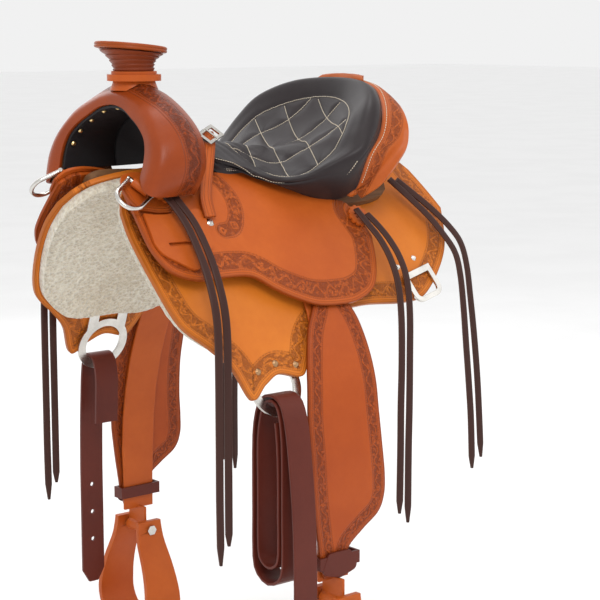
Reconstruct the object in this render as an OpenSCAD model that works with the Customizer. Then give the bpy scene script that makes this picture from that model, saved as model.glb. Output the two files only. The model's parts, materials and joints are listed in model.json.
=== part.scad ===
// Western saddle with a slick fork, dally horn and quilted seat.
// Frame: +Z up, -X towards the horse's head, -Y the near (left) side.
// The origin lies over the horse's spine, midway along the bars of the tree.
// The two sides mirror each other: every side part is drawn on the near side.

/* [Flank] */
// Slope of the bars at the spine, degrees below level
slope_top = 38; // [32:1:42]
// Slope at the foot of the skirts, degrees below level
slope_foot = 74; // [70:1:80]
// Distance down the flank over which the slope changes
slope_run = 430; // [410:5:480]
// Rise of the front and rear ends above the middle
rocker = 18; // [8:1:26]

/* [Leather and fleece] */
// Thickness of the skirts, two layers stitched together
skirt_t = 7; // [4:0.5:8]
// Thickness of the seat jockeys
jockey_t = 5; // [3:0.5:6]
// Thickness of the single leathers laid over the jockeys
leaf_t = 4; // [2:0.5:5]
// Thickness of the woolskin under the skirts
fleece_t = 15; // [8:1:22]
// Air left between two leathers that lie on each other
lay_gap = 0.6; // [0.4:0.1:1]

/* [Tree] */
// Thickness of the wooden bars
bar_t = 12; // [10:1:14]
// Half the width of the fork at its widest
fork_half = 148; // [135:1:165]
// Half the width of the gullet inside its lining
gullet_half = 98; // [85:1:105]
// Height of the gullet's crown above the origin
gullet_top = 82; // [70:1:88]
// Thickness of the leather over the fork
fork_leather = 5; // [3:0.5:6]
// Thickness of the lining under the fork
lining_t = 4; // [2:0.5:5]

/* [Horn] */
// Diameter of the horn cap
cap_d = 102; // [80:1:125]
// Thickness of the horn cap
cap_t = 9; // [6:0.5:14]
// Height of the cap's underside above the origin
cap_z = 161; // [158:1:175]
// Rearward tilt of the cap, degrees
cap_tilt = 6; // [0:1:8]
// Distance of the horn ahead of the origin
horn_x = 184; // [180:1:190]
// Radius of the horn's post inside the wrap
post_r = 20; // [14:1:23]

/* [Seat] */
// Centre of the seat's oval behind the origin
seat_x = 90; // [80:1:100]
// Length of the oval from its centre to the cantle's crest
seat_reach = 98; // [90:1:105]
// Half the width of the seat across the cantle
seat_half = 155; // [140:1:165]
// Height of the cantle's crest above the origin
cantle_z = 112; // [95:1:125]
// Thickness of the quilted cushion
cushion_t = 6; // [4:0.5:8]
// Thickness of the ground seat under the cushion
ground_t = 3; // [2:0.5:5]

/* [Fenders and stirrups] */
// Thickness of the fender leather
fender_t = 5; // [3:0.5:6]
// Height of the fender's foot below the origin
fender_foot = 575; // [540:5:620]
// Width of the stirrup leather
leather_w = 60; // [45:1:65]
// Radius of the stirrup bolt
bolt_r = 5; // [4:0.25:6]
// Depth of the stirrup tread, front to back
tread_d = 64; // [45:1:80]
// Clear width inside the stirrup
stirrup_w = 124; // [110:1:140]
// Height of the stirrup from bolt to tread
stirrup_h = 148; // [130:1:170]

/* [Rigging] */
// Inner radius of the rigging ring
ring_r = 31; // [26:1:34]
// Width of the ring's metal
ring_w = 13; // [10:1:14]
// Thickness of the ring
ring_t = 4; // [3:0.5:5]
// Width of the latigo and the off billet
strap_w = 40; // [32:1:46]
// Thickness of the latigo and the off billet
strap_t = 4; // [3:0.5:4.5]
// Radius of the holes punched in those straps
strap_hole_r = 3.5; // [3:0.25:4.5]
// Radius of the wire of the breast dees
dee_wire = 3.2; // [2.5:0.1:3.6]
// Inner width of the breast dees
dee_w = 38; // [34:1:44]

/* [Strings] */
// Width of a saddle string
string_w = 11; // [8:0.5:12]

/* [Hidden] */

// Colours of the finished leathers and metals
RUSSET = [0.75, 0.36, 0.17];
TAN = [0.86, 0.53, 0.26];
BURGUNDY = [0.40, 0.14, 0.09];
BLACK_LEATHER = [0.21, 0.20, 0.22];
STRING_BROWN = [0.22, 0.12, 0.12];
WOOD = [0.78, 0.64, 0.45];
STEEL = [0.78, 0.78, 0.76];
COPPER = [0.72, 0.45, 0.25];
WOOL = [0.90, 0.86, 0.76];

// Heights of the layers above the underside of the skirts
bar_h = skirt_t + lay_gap;
jockey_h = bar_h + bar_t + 4;
leaf_h = jockey_h + jockey_t + lay_gap;
fine = 0.01;

// ---------- Curves and closed shells ----------

// One span of a Catmull-Rom curve between b and c
function span(a, b, c, d, t) =
    0.5 * (2 * b + (c - a) * t + (2 * a - 5 * b + 4 * c - d) * t * t
    + (3 * b - a - 3 * c + d) * t * t * t);

// The point of the smooth curve through the points p at u, from 0 to 1
function along(p, u) =
    let (n = len(p) - 1, i = min(n - 1, floor(u * n)), t = u * n - i)
    span(p[max(0, i - 1)], p[i], p[i + 1], p[min(n, i + 2)], t);

// The smooth curve through p, as n + 1 points
function smooth(p, n) = [for (i = [0 : n]) along(p, i / n)];

function mix(a, b, t) = a + (b - a) * t;
function unit(v) = v / max(fine, norm(v));

// A grid between corresponding points of two curves
function ruled(a, b, n) = [for (i = [0 : len(a) - 1]) [for (j = [0 : n]) mix(a[i], b[i], j / n)]];

// The grid g moved by d along its own normals
function offset_grid(g, d) =
    let (m = len(g) - 1, n = len(g[0]) - 1)
    [for (i = [0 : m]) [for (j = [0 : n])
        let (
            du = g[min(m, i + 1)][j] - g[max(0, i - 1)][j],
            dv = g[i][min(n, j + 1)] - g[i][max(0, j - 1)]
        )
        g[i][j] + d * unit(cross(du, dv))]];

// The closed solid between two grids: face looks along cross(du, dv), back the other way
module shell(face, back) {
    m = len(face);
    n = len(face[0]);
    b = m * n;
    flat = [for (g = [face, back]) for (row = g) for (p = row) p];
    skin = [for (i = [0 : m - 2]) for (j = [0 : n - 2])
        let (a = i * n + j, c = a + n)
        each [[a, a + 1, c + 1], [a, c + 1, c],
              [b + a, b + c, b + c + 1], [b + a, b + c + 1, b + a + 1]]];
    sides = [for (i = [0 : m - 2])
        let (a = i * n, c = a + n, d = a + n - 1, e = c + n - 1)
        each [[a, c, b + c], [a, b + c, b + a], [d, b + e, e], [d, b + d, b + e]]];
    ends = [for (j = [0 : n - 2])
        let (c = (m - 1) * n + j)
        each [[j, b + j + 1, j + 1], [j, b + j, b + j + 1],
              [c, c + 1, b + c + 1], [c, b + c + 1, b + c]]];
    polyhedron(points = flat, faces = concat(skin, sides, ends));
}

// The closed solid through a list of rings, each a list of the same number of points
module skinned(rings) {
    m = len(rings);
    n = len(rings[0]);
    flat = [for (r = rings) for (p = r) p];
    sides = [for (i = [0 : m - 2]) for (j = [0 : n - 1])
        let (a = i * n + j, b = i * n + (j + 1) % n)
        each [[a, b + n, b], [a, a + n, b + n]]];
    caps = [for (j = [1 : n - 2]) each [[0, j, j + 1], [(m - 1) * n, (m - 1) * n + j + 1, (m - 1) * n + j]]];
    polyhedron(points = flat, faces = concat(sides, caps));
}

// A dished shell whose rows run from a small middle ring out to a closed rim
module ring_shell(face, back) {
    m = len(face) - 1;
    n = len(face[0]);
    b = m * n;
    flat = [for (g = [face, back]) for (i = [0 : m - 1]) for (p = g[i]) p];
    skin = [for (i = [0 : m - 1]) for (j = [0 : n - 2])
        let (a = i * n + j, c = ((i + 1) % m) * n + j)
        each [[a, a + 1, c + 1], [a, c + 1, c],
              [b + a, b + c, b + c + 1], [b + a, b + c + 1, b + a + 1]]];
    rim = [for (i = [0 : m - 1])
        let (d = i * n + n - 1, e = ((i + 1) % m) * n + n - 1)
        each [[d, b + e, e], [d, b + d, b + e]]];
    middle = [for (i = [1 : m - 2])
        each [[0, i * n, (i + 1) * n], [b, b + (i + 1) * n, b + i * n]]];
    polyhedron(points = flat, faces = concat(skin, rim, middle));
}

// A strap of width w across X and thickness t, carried along points in the YZ plane
module strap(path, w, t) {
    n = len(path) - 1;
    rings = [for (i = [0 : n])
        let (
            d = unit(path[min(n, i + 1)] - path[max(0, i - 1)]),
            o = t / 2 * [0, d.z, -d.y],
            x = [w / 2, 0, 0]
        )
        [path[i] - x - o, path[i] + x - o, path[i] + x + o, path[i] - x + o]];
    skinned(rings);
}

// A round tube of diameter d carried along a route
module tube(route, d, sides = 8) {
    n = len(route) - 1;
    rings = [for (i = [0 : n])
        let (
            t = unit(route[min(n, i + 1)] - route[max(0, i - 1)]),
            x = unit(cross(t, [0.3, 1, 0.1])),
            y = cross(t, x)
        )
        [for (k = [0 : sides - 1]) route[i] + d / 2 * (x * cos(k * 360 / sides) + y * sin(k * 360 / sides))]];
    skinned(rings);
}

module off_side() {
    mirror([0, 1, 0]) children();
}

// ---------- The flank, the curved surface that every side leather lies on ----------

bend = (slope_foot - slope_top) / slope_run;
bend_r = 180 / PI / bend;
function slope(s) = slope_top + bend * s;

// The point x along the saddle, s down the flank and h above it, on the near side
function flank(x, s, h) = [
    x,
    -bend_r * (sin(slope(s)) - sin(slope_top)) - h * sin(slope(s)),
    bend_r * (cos(slope(s)) - cos(slope_top)) + h * cos(slope(s)) + rocker * pow(x / 330, 2)
];

function lift(g, h) = [for (row = g) [for (p = row) flank(p.x, p.y, h)]];

// A leather on the flank between an upper and a lower outline of [x, s] points
module leather(upper, lower, h, t, nu = 26, nv = 7) {
    g = ruled(smooth(upper, nu), smooth(lower, nu), nv);
    shell(lift(g, h), lift(g, h + t));
}

// Places children with their +Z out of the flank and their +Y up the slope
module on_flank(x, s, h) {
    translate(flank(x, s, h)) rotate([slope(s), 0, 0]) children();
}

// ---------- Tree ----------

module bar() {
    upper = [[-225, 52], [-205, 44], [-130, 42], [0, 42], [120, 42], [190, 44], [215, 54]];
    lower = [[-230, 60], [-215, 118], [-130, 120], [0, 112], [120, 120], [205, 112], [222, 66]];
    leather(upper, lower, bar_h, bar_t, 22, 5);
}

module tree_bars() color(WOOD) {
    bar();
    off_side() bar();
}

// Half outlines of the fork, from the crown down the near side, as [y, z]
fork_front = [[0, 108], [30, 104], [61, 94], [95, 78], [119, 57], [135, 36], [142, 12], [139, -14], [132, -32]];
fork_mid = [[0, 119], [30, 115], [62, 103], [96, 86], [124, 66], [142, 42], [148, 12], [139, -14], [120, -34]];
fork_rear = [[0, 104], [28, 100], [56, 89], [86, 71], [110, 50], [122, 28], [122, 4], [112, -16], [96, -34]];
gullet_arch = [[0, 86], [28, 82], [52, 71], [74, 59], [92, 44], [100, 28], [102, 12], [101, 0], [100, -8]];
fork_scale = fork_half / 148;
arch_steps = 26;

// The forward rake of the fork's face: its crown leans back
function face_x(z) = -241 + 0.24 * (z - 10);

// A full arch from the near side over the crown to the off side, as [y, z] points
function full_arch(half, k) =
    let (n = len(half) - 1)
    smooth([for (i = [-n : n]) [sign(i) * half[abs(i)].x * k, half[abs(i)].y]], arch_steps);

function gullet_line(grow) =
    let (k = (gullet_half + 4 + grow) / 102, d = gullet_top + 4 + grow - 86)
    full_arch([for (p = gullet_arch) [p.x, p.y + d * (p.y > 0 ? p.y / 86 : 0)]], k);

// The fork's outer skin: from the gullet's edge up the face, over the top and down the rear
function fork_skin() =
    let (
        e = gullet_line(1),
        f = full_arch(fork_front, fork_scale),
        m = full_arch(fork_mid, fork_scale),
        r = full_arch(fork_rear, fork_scale)
    )
    [for (i = [0 : arch_steps])
        let (
            p0 = [face_x(e[i].y) - 2, e[i].x, e[i].y],
            p1 = [face_x(f[i].y) - 4, mix(e[i].x, f[i].x, 0.6), mix(e[i].y, f[i].y, 0.6)],
            p2 = [face_x(f[i].y) + 8, f[i].x, f[i].y],
            p3 = [-190, m[i].x, m[i].y],
            p4 = [-158, mix(m[i].x, r[i].x, 0.7), mix(m[i].y, r[i].y, 0.7)],
            p5 = [-149, r[i].x * 0.95, r[i].y - 4]
        )
        smooth([p0, p1, p2, p3, p4, p5], 9)];

module fork_cover() color(RUSSET) difference() {
    skin = fork_skin();
    shell(offset_grid(skin, fork_leather), skin);
    horn_bore(0);
}

// Everything between the gullet and a surface set in from the fork's skin
module fork_mass(inset) {
    skin = offset_grid(fork_skin(), inset);
    g = gullet_line(lining_t + lay_gap);
    under = [for (i = [0 : arch_steps]) [for (p = skin[i]) [
        min(-158, max(face_x(g[i].y) + 7, p.x)), g[i].x * 1.01, g[i].y]]];
    trimmed = [for (row = skin) [for (p = row) [max(face_x(p.z) + 5, p.x), p.y, p.z]]];
    shell(under, trimmed);
}

// The wooden fork fills the cover down to the lining
module fork_core() color(WOOD) difference() {
    fork_mass(fork_leather + lay_gap);
    horn_bore(0);
}

module gullet_lining() color(BLACK_LEATHER) {
    inner = gullet_line(-4);
    outer = gullet_line(-4 + lining_t);
    x0 = [for (p = inner) face_x(p.y) + 3];
    near = [for (i = [0 : arch_steps]) [for (j = [0 : 3]) [mix(x0[i], -152, j / 3), inner[i].x, inner[i].y]]];
    far = [for (i = [0 : arch_steps]) [for (j = [0 : 3]) [mix(x0[i], -152, j / 3), outer[i].x, outer[i].y]]];
    shell(near, far);
}

// Dome-headed tacks along the gullet's edge
module gullet_tacks() color(COPPER) {
    arch = gullet_line(-4 - lay_gap);
    for (i = [5 : 2 : arch_steps - 5]) {
        d = unit([0, arch[i + 1].x - arch[i - 1].x, arch[i + 1].y - arch[i - 1].y]);
        translate([face_x(arch[i].y) + 12, arch[i].x, arch[i].y])
            rotate([atan2(d.z, d.y), 0, 0]) mirror([0, 0, 1])
                cylinder(r1 = 4, r2 = 2.2, h = 2, $fn = 16);
    }
}

// ---------- Horn ----------

module horn_axis() {
    translate([-horn_x, 0, 0]) children();
}

module horn_bore(clear) {
    horn_axis() translate([0, 0, 60]) cylinder(r = post_r + clear + 0.3, h = 120, $fn = 48);
}

module horn_post() color(WOOD) {
    horn_axis() translate([0, 0, gullet_top + 12]) cylinder(r = post_r, h = cap_z - gullet_top - 18, $fn = 48);
}

module horn_cap() color(RUSSET) {
    translate([-horn_x - 5, 0, cap_z + cap_t / 2]) rotate([0, cap_tilt, 0]) {
        translate([0, 0, -cap_t / 2]) cylinder(d = cap_d - 2, h = 2, $fn = 64);
        translate([0, 0, -cap_t / 2 + 1.5]) cylinder(d = cap_d, h = cap_t - 3, $fn = 64);
        translate([0, 0, cap_t / 2 - 2]) cylinder(d1 = cap_d, d2 = cap_d - 14, h = 2, $fn = 64);
    }
}

// The dark strip wound round the neck, flaring out under the cap
module horn_wrap() color(BURGUNDY) {
    neck = [[post_r + 8.5, 133], [post_r + 9, 139], [post_r + 11.5, 146], [post_r + 16, 152],
            [post_r + 22, cap_z - 5]];
    turns = [for (p = neck) [for (k = [0 : 31])
        let (a = k * 360 / 32, u = (p.y - 133) / 23)
        [-horn_x - 5 * u + p.x * cos(a), p.x * sin(a), p.y - p.x * cos(a) * sin(cap_tilt) * u]]];
    difference() {
        skinned(turns);
        horn_bore(0);
    }
}

module horn_collar() color(RUSSET) {
    horn_axis() {
        difference() {
            union() {
                translate([0, 0, 106]) cylinder(r1 = post_r + 14, r2 = post_r + 9, h = 14, $fn = 40);
                translate([0, 0, 119]) cylinder(r = post_r + 18, h = 9, $fn = 64);
                translate([0, 0, 127.5]) cylinder(r = post_r + 12, h = 5, $fn = 64);
            }
            translate([0, 0, 100]) cylinder(r = post_r + 0.3, h = 40, $fn = 48);
            translate([horn_x, 0, 0]) fork_mass(-2 * lay_gap);
        }
    }
}

// ---------- Seat ----------

// Height of the cantle's crest at the angle a from its middle
crest_fall = [0, -1, -3, -8, -16, -28, -46, -72, -94];
function crest_z(a) = cantle_z + along([for (f = crest_fall) [f, 0, 0]], min(1, a / 90)).x;
function crest(a) = [seat_x + seat_reach * cos(a), -seat_half * sin(a), crest_z(a)];

// The near half of the seat's crest, from the cantle round to the front
crest_half = concat(
    [for (a = [0 : 15 : 90]) crest(a)],
    [[58, -146, -4], [30, -126, -20], [0, -104, -24], [-30, -84, -16], [-60, -70, -2], [-95, -62, 10],
     [-122, -52, 22], [-134, -24, 36], [-136, 0, 40]]
);

// The near half of the seat's stitched edge, where it meets the roll and the jockey
edge_half = [
    [203, 0, cantle_z], [200, -48, cantle_z - 1], [190, -90, cantle_z - 9], [177, -118, cantle_z - 26],
    [160, -140, cantle_z - 48], [141, -153, cantle_z - 74], [112, -160, cantle_z - 102],
    [118, -128, -38], flank(96, 112, leaf_h + 2), flank(60, 104, leaf_h + 2), flank(30, 88, leaf_h + 2),
    flank(2, 71, leaf_h + 2), flank(-26, 53, leaf_h + 2), flank(-62, 54, leaf_h + 2),
    flank(-88, 46, leaf_h + 3), [-138, -28, 30]
];
seat_steps = 44;
well = [55, 0, 14];

function mirrored_loop(half) =
    let (n = len(half) - 1)
    [for (i = [-n : n]) [half[abs(i)].x, (i < 0 ? -1 : 1) * half[abs(i)].y, half[abs(i)].z]];

function seat_row(c, e, drop) = concat(
    [for (r = [0.04, 0.2, 0.4, 0.58, 0.74, 0.88, 1])
        let (p = 1 + 1.3 * max(0, (c.x - 40) / 150))
        [mix(well.x, c.x, r), mix(well.y, c.y, r), mix(well.z, c.z, pow(r, p)) - drop]],
    [mix(c, e, 0.5) + [0, 0.05 * c.y, 1 - drop], [e.x, e.y, e.z - drop]]
);

function seat_grid(drop) =
    let (c = smooth(mirrored_loop(crest_half), seat_steps), e = smooth(mirrored_loop(edge_half), seat_steps))
    [for (i = [0 : seat_steps]) seat_row(c[i], e[i], drop)];

module seat_cushion() color(BLACK_LEATHER) {
    ring_shell(seat_grid(0), seat_grid(cushion_t));
}

module ground_seat() color(WOOD) {
    sub = cushion_t + lay_gap;
    top = [for (row = seat_grid(sub)) [for (j = [0 : 4]) row[j]]];
    low = [for (row = seat_grid(sub + ground_t)) [for (j = [0 : 4]) row[j]]];
    ring_shell(top, low);
}

// ---------- Cantle ----------

// The near half of the roll's outer edge, from the top of the cantle to its foot
roll_half = [[210, 0, cantle_z + 3], [208, -44, cantle_z], [205, -86, cantle_z - 9],
    [198, -126, cantle_z - 26], [186, -156, cantle_z - 52], [177, -165, cantle_z - 80],
    [164, -163, cantle_z - 100], [142, -148, -24], [122, -124, -46]];
// The near half of the roll's inner edge, just outside the seat's stitched edge
roll_seam = [[204, 0, cantle_z + 1], [201.5, -48, cantle_z], [191.5, -91, cantle_z - 8],
    [178.5, -119.5, cantle_z - 25], [162, -141.5, cantle_z - 48], [143.5, -154.5, cantle_z - 75],
    [116, -161.5, cantle_z - 103], [121, -131, -39], [114, -116, -50]];
roll_t = 7;

// The roll turns rearward and down behind its outer edge
module cantle_roll() color(RUSSET) {
    seam = smooth(mirrored_loop(roll_seam), 40);
    edge = smooth(mirrored_loop(roll_half), 40);
    face = [for (i = [0 : 40])
        let (o = edge[i], c = [seat_x, 0, 20], out = unit([o.x - c.x, o.y - c.y, 0]))
        smooth([seam[i], mix(seam[i], o, 0.55) + 2 * out + [0, 0, 1], o, o + 9 * out + [0, 0, -9]], 5)];
    shell(face, offset_grid(face, -roll_t));
}

// A curved wall behind the seat, at the reach r from the oval's crest
function cantle_wall(r, top_drop, foot_h, a_max) =
    [for (a = [-a_max : a_max / 10 : a_max])
        let (
            c = [seat_x + (seat_reach + r) * cos(a), -(seat_half + r) * sin(a), crest_z(abs(a)) - top_drop],
            f = cantle_foot(a, r, foot_h)
        )
        [for (j = [0 : 5]) mix(c, f, j / 5)]];

// The foot of that wall, on the flank
function cantle_foot(a, r, foot_h) =
    let (p = flank(184 + 0.4 * r - 42 * pow(abs(a) / 60, 2), 8 + 92 * abs(a) / 60, foot_h))
    [p.x, (a < 0 ? -1 : 1) * p.y, p.z];

module cantle_board() color(WOOD) {
    shell(cantle_wall(0, 20, jockey_h, 56), cantle_wall(-7, 24, jockey_h, 56));
}

module cantle_back() color(RUSSET) {
    shell(cantle_wall(8, 14, jockey_h, 60), cantle_wall(4, 16, jockey_h, 60));
}

// ---------- Jockeys ----------

jockey_upper = [[-262, 85], [-245, 66], [-220, 62], [-190, 62], [-160, 60], [-125, 58], [-95, 52], [-63, 55],
    [-30, 52], [6, 76], [36, 94], [62, 106], [90, 114], [112, 122], [122, 140]];
jockey_lower = [[-264, 150], [-261, 182], [-243, 212], [-205, 225], [-165, 222], [-125, 221], [-104, 226],
    [-80, 243], [-50, 259], [-15, 272], [25, 276], [62, 274], [97, 259], [118, 226], [132, 182]];

module seat_jockey() color(RUSSET) leather(jockey_upper, jockey_lower, jockey_h, jockey_t, 34, 7);
module jockey_near() seat_jockey();
module jockey_off() off_side() seat_jockey();

// The lobe in front of the fork, laid over the jockey
module front_jockey() color(RUSSET)
    leather([[-266, 84], [-256, 64], [-236, 56], [-212, 56], [-190, 60], [-176, 66]],
            [[-264, 104], [-256, 118], [-240, 122], [-222, 124], [-200, 120], [-176, 96]],
            leaf_h, leaf_t, 14, 5);
module front_jockey_near() front_jockey();
module front_jockey_off() off_side() front_jockey();

// The leaf that holds the latigo's loose end, with its slot
module latigo_keeper() color(RUSSET) {
    difference() {
        leather([[-252, 126], [-232, 128], [-205, 126], [-180, 122], [-158, 118], [-150, 128]],
                [[-256, 172], [-249, 188], [-226, 202], [-203, 212], [-180, 196], [-160, 176]],
                leaf_h, leaf_t, 16, 8);
        on_flank(-210, 173, leaf_h + leaf_t / 2) cube([46, 6, 12], center = true);
    }
}

// ---------- Skirts and fleece ----------

skirt_upper = [[-252, 78], [-240, 62], [-225, 50], [-200, 38], [-170, 28], [-140, 20], [-110, 14], [-70, 10],
    [-20, 10], [30, 10], [80, 10], [130, 11], [180, 12], [220, 18], [255, 28], [278, 44], [292, 70]];
skirt_lower = [[-264, 104], [-269, 150], [-261, 218], [-243, 278], [-206, 313], [-178, 342], [-156, 388],
    [-128, 370], [-100, 357], [-62, 364], [-46, 346], [-26, 312], [20, 284], [90, 276], [170, 284], [215, 276], [278, 220],
    [311, 150]];

module skirt() color(TAN) leather(skirt_upper, skirt_lower, 0, skirt_t, 52, 9);
module skirt_near() skirt();
module skirt_off() off_side() skirt();

module fleece() color(WOOL)
    leather([for (p = skirt_upper) p + [p.x < 0 ? 4 : -4, 3]],
            [[-258, 104], [-262, 150], [-254, 216], [-236, 272], [-198, 306], [-172, 314], [-154, 314],
             [-128, 312], [-100, 310], [-60, 312], [-28, 306], [28, 278], [88, 269], [168, 277], [210, 269],
             [270, 216], [303, 148]],
            -fleece_t - lay_gap, fleece_t, 30, 5);
module fleece_near() fleece();
module fleece_off() off_side() fleece();

// ---------- Rigging and dees ----------

ring_x = -104;
ring_s = 371;

module rigging_ring() color(STEEL) on_flank(ring_x, ring_s, -ring_t - 2.6) {
    difference() {
        union() {
            cylinder(r = ring_r + ring_w, h = ring_t, $fn = 64);
            for (a = [-1, 1]) translate([a * 26 - 9, 20, 0]) cube([18, 32, ring_t]);
        }
        translate([0, 0, -1]) cylinder(r = ring_r, h = ring_t + 2, $fn = 64);
    }
}
module rigging_ring_near() rigging_ring();
module rigging_ring_off() off_side() rigging_ring();

module rivet(r, through) {
    cylinder(r1 = r, r2 = r * 0.55, h = 2, $fn = 20);
    translate([0, 0, -through]) cylinder(r = r * 0.35, h = through + 0.5, $fn = 16);
}

ring_rivets = [[-136, 351], [-103, 342], [-68, 347]];

module copper_rivets() color(COPPER) {
    for (p = ring_rivets) {
        on_flank(p.x, p.y, skirt_t + 0.1) rivet(5, skirt_t);
        off_side() on_flank(p.x, p.y, skirt_t + 0.1) rivet(5, skirt_t);
    }
}

dee_rivets = [[176, 230], [213, 221]];

module steel_rivets() color(STEEL) {
    for (p = dee_rivets) {
        on_flank(p.x, p.y, skirt_t + 0.1) rivet(4.5, skirt_t);
        off_side() on_flank(p.x, p.y, skirt_t + 0.1) rivet(4.5, skirt_t);
    }
    on_flank(-144, 138, jockey_h + jockey_t + 0.1) rivet(6, jockey_t);
    off_side() on_flank(-144, 138, jockey_h + jockey_t + 0.1) rivet(6, jockey_t);
}

// A flat steel D set under the skirt's edge, its straight side uppermost
rear_dee_x = 204;
rear_dee_s = 250;

module flat_dee(w, drop) {
    hull() {
        translate([-w / 2, -2]) square([w, 12]);
        translate([-w / 2 + 16, 16 - drop]) circle(r = 16, $fn = 32);
        translate([w / 2 - 16, 16 - drop]) circle(r = 16, $fn = 32);
    }
}

module rear_dee() color(STEEL) on_flank(rear_dee_x, rear_dee_s, skirt_t + 2.4) rotate([0, 0, 14]) {
    linear_extrude(ring_t) difference() {
        flat_dee(62, 40);
        translate([0, -1]) offset(delta = -9) flat_dee(62, 40);
    }
}
module rear_dee_near() rear_dee();
module rear_dee_off() off_side() rear_dee();

// Breast dee: a wire D whose straight bar turns in the leather loop
breast_x = -243;
breast_s = 90;
breast_h = leaf_h + leaf_t + 9;
breast_turn = -56;

module breast_place() {
    on_flank(breast_x, breast_s, breast_h) rotate([0, 0, breast_turn]) children();
}

module breast_dee() color(STEEL) breast_place() {
    reach = 30;
    half = dee_w / 2;
    rotate([0, 90, 0]) translate([0, 0, -half - dee_wire]) cylinder(r = dee_wire, h = 2 * (half + dee_wire), $fn = 24);
    for (s = [-1, 1]) translate([s * half, 0, 0]) rotate([90, 0, 0]) cylinder(r = dee_wire, h = reach, $fn = 24);
    translate([0, -reach, 0]) rotate([0, 0, 180]) rotate_extrude(angle = 180, $fn = 48)
        translate([half, 0]) circle(r = dee_wire, $fn = 24);
}
module breast_dee_near() breast_dee();
module breast_dee_off() off_side() breast_dee();

// The leather folded round each dee's bar
module dee_loop() breast_place() {
    turn_r = dee_wire + 0.1;
    difference() {
        union() {
            rotate([0, 90, 0]) translate([0, 0, -13]) cylinder(r = turn_r + 3.2, h = 26, $fn = 40);
            translate([-13, -2, -turn_r - 3.2]) cube([26, 22, 4]);
        }
        rotate([0, 90, 0]) translate([0, 0, -20]) cylinder(r = turn_r, h = 40, $fn = 40);
    }
}

module dee_loops() color(RUSSET) {
    dee_loop();
    off_side() dee_loop();
}

// ---------- Rosettes and saddle strings ----------

module rosette(r, t) {
    linear_extrude(t) difference() {
        union() {
            circle(r = r - 2, $fn = 40);
            for (a = [0 : 30 : 330]) rotate(a) translate([r - 3, 0]) circle(r = 4, $fn = 16);
        }
        translate([-7, -4]) square([14, 2]);
        translate([-7, 2]) square([14, 2]);
    }
}

front_rose = [-200, 92];
seat_rose = [122, 150];

module string_rosettes() color(RUSSET) {
    for (side = [0, 1]) mirror([0, side, 0]) {
        on_flank(front_rose.x, front_rose.y, leaf_h + leaf_t + 1.4) rosette(20, 4);
        on_flank(seat_rose.x, seat_rose.y, jockey_h + jockey_t + 1) rosette(17, 4);
    }
}

// The strings' routes: round points from the rosette or the cantle's foot to the hanging tip
route_front_a = [[-214, -106, -28], [-208, -121, -43], [-202, -143, -68], [-200, -163, -95], [-202, -185, -123],
    [-204, -202, -152], [-205, -213, -180], [-205, -218, -215], [-205, -219, -270], [-205, -219, -330],
    [-205, -219, -390], [-205, -219, -450], [-204, -219, -530]];
route_front_b = [[-204, -96, -19], [-194, -119, -43], [-187, -142, -68], [-185, -163, -95], [-187, -185, -123],
    [-189, -202, -152], [-190, -213, -180], [-190, -218, -215], [-190, -219, -270], [-190, -219, -330],
    [-190, -219, -390], [-190, -219, -450], [-190, -219, -505]];
route_seat_a = [[131, -140, -79], [137, -157, -94], [143, -176, -114], [149, -193, -140], [153, -204, -172],
    [155, -209, -220], [155, -210, -290], [155, -210, -360], [154, -210, -430], [154, -210, -538]];
route_seat_b = [[115, -134, -71], [120, -154, -91], [126, -174, -112], [131, -192, -140], [134, -205, -174],
    [136, -211, -222], [136, -213, -290], [135, -213, -360], [135, -213, -430], [134, -213, -520]];
route_rear_a = [[238, -88, -38], [256, -110, -60], [274, -130, -82], [292, -150, -108], [306, -162, -134],
    [316, -166, -170], [325, -166, -220], [333, -166, -270], [341, -166, -330], [347, -166, -390], [354, -166, -478]];
route_rear_b = [[222, -90, -36], [240, -114, -62], [258, -138, -90], [272, -158, -118], [284, -172, -146],
    [290, -178, -180], [296, -180, -230], [303, -180, -290], [310, -180, -350], [316, -180, -410], [320, -180, -488]];

module saddle_string(route) color(STRING_BROWN) tube(smooth(route, 2 * len(route) - 6), string_w);

module string_front_near_a() saddle_string(route_front_a);
module string_front_near_b() saddle_string(route_front_b);
module string_front_off_a() off_side() saddle_string(route_front_a);
module string_front_off_b() off_side() saddle_string(route_front_b);
module string_seat_near_a() saddle_string(route_seat_a);
module string_seat_near_b() saddle_string(route_seat_b);
module string_seat_off_a() off_side() saddle_string(route_seat_a);
module string_seat_off_b() off_side() saddle_string(route_seat_b);
module string_rear_near_a() saddle_string(route_rear_a);
module string_rear_near_b() saddle_string(route_rear_b);
module string_rear_off_a() off_side() saddle_string(route_rear_a);
module string_rear_off_b() off_side() saddle_string(route_rear_b);

// ---------- Rope strap ----------

// The strap runs down behind the fork, over the jockey, and ends under its screw: [x, down, height]
rope_line = [[-82, 0, 53], [-90, 20, 51], [-105, 46, 45], [-122, 75, leaf_h + 9], [-138, 104, leaf_h + 6],
    [-146, 134, leaf_h + 5]];
rope_w = 20;

function rope_rows(line, up) =
    [for (p = line) [for (k = [-1 : 1]) flank(p.x + k * rope_w / 2, p.y, p.z + up)]];

module rope_strap() color(RUSSET) {
    line = smooth(rope_line, 14);
    shell(rope_rows(line, leaf_t), rope_rows(line, 0));
}

// A flat steel frame with its tongue, lying on the strap
module rope_buckle() color(STEEL) {
    on_flank(-86, 11, 61) rotate([0, -6, 25]) {
        difference() {
            cube([34, 26, 3], center = true);
            cube([24, 16, 6], center = true);
        }
        translate([0, 0, 2.3]) cube([3, 25, 1.6], center = true);
    }
}

// ---------- Stirrup leathers, fenders and stirrups ----------

fender_x = -22;
pivot_s = 188;
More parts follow.
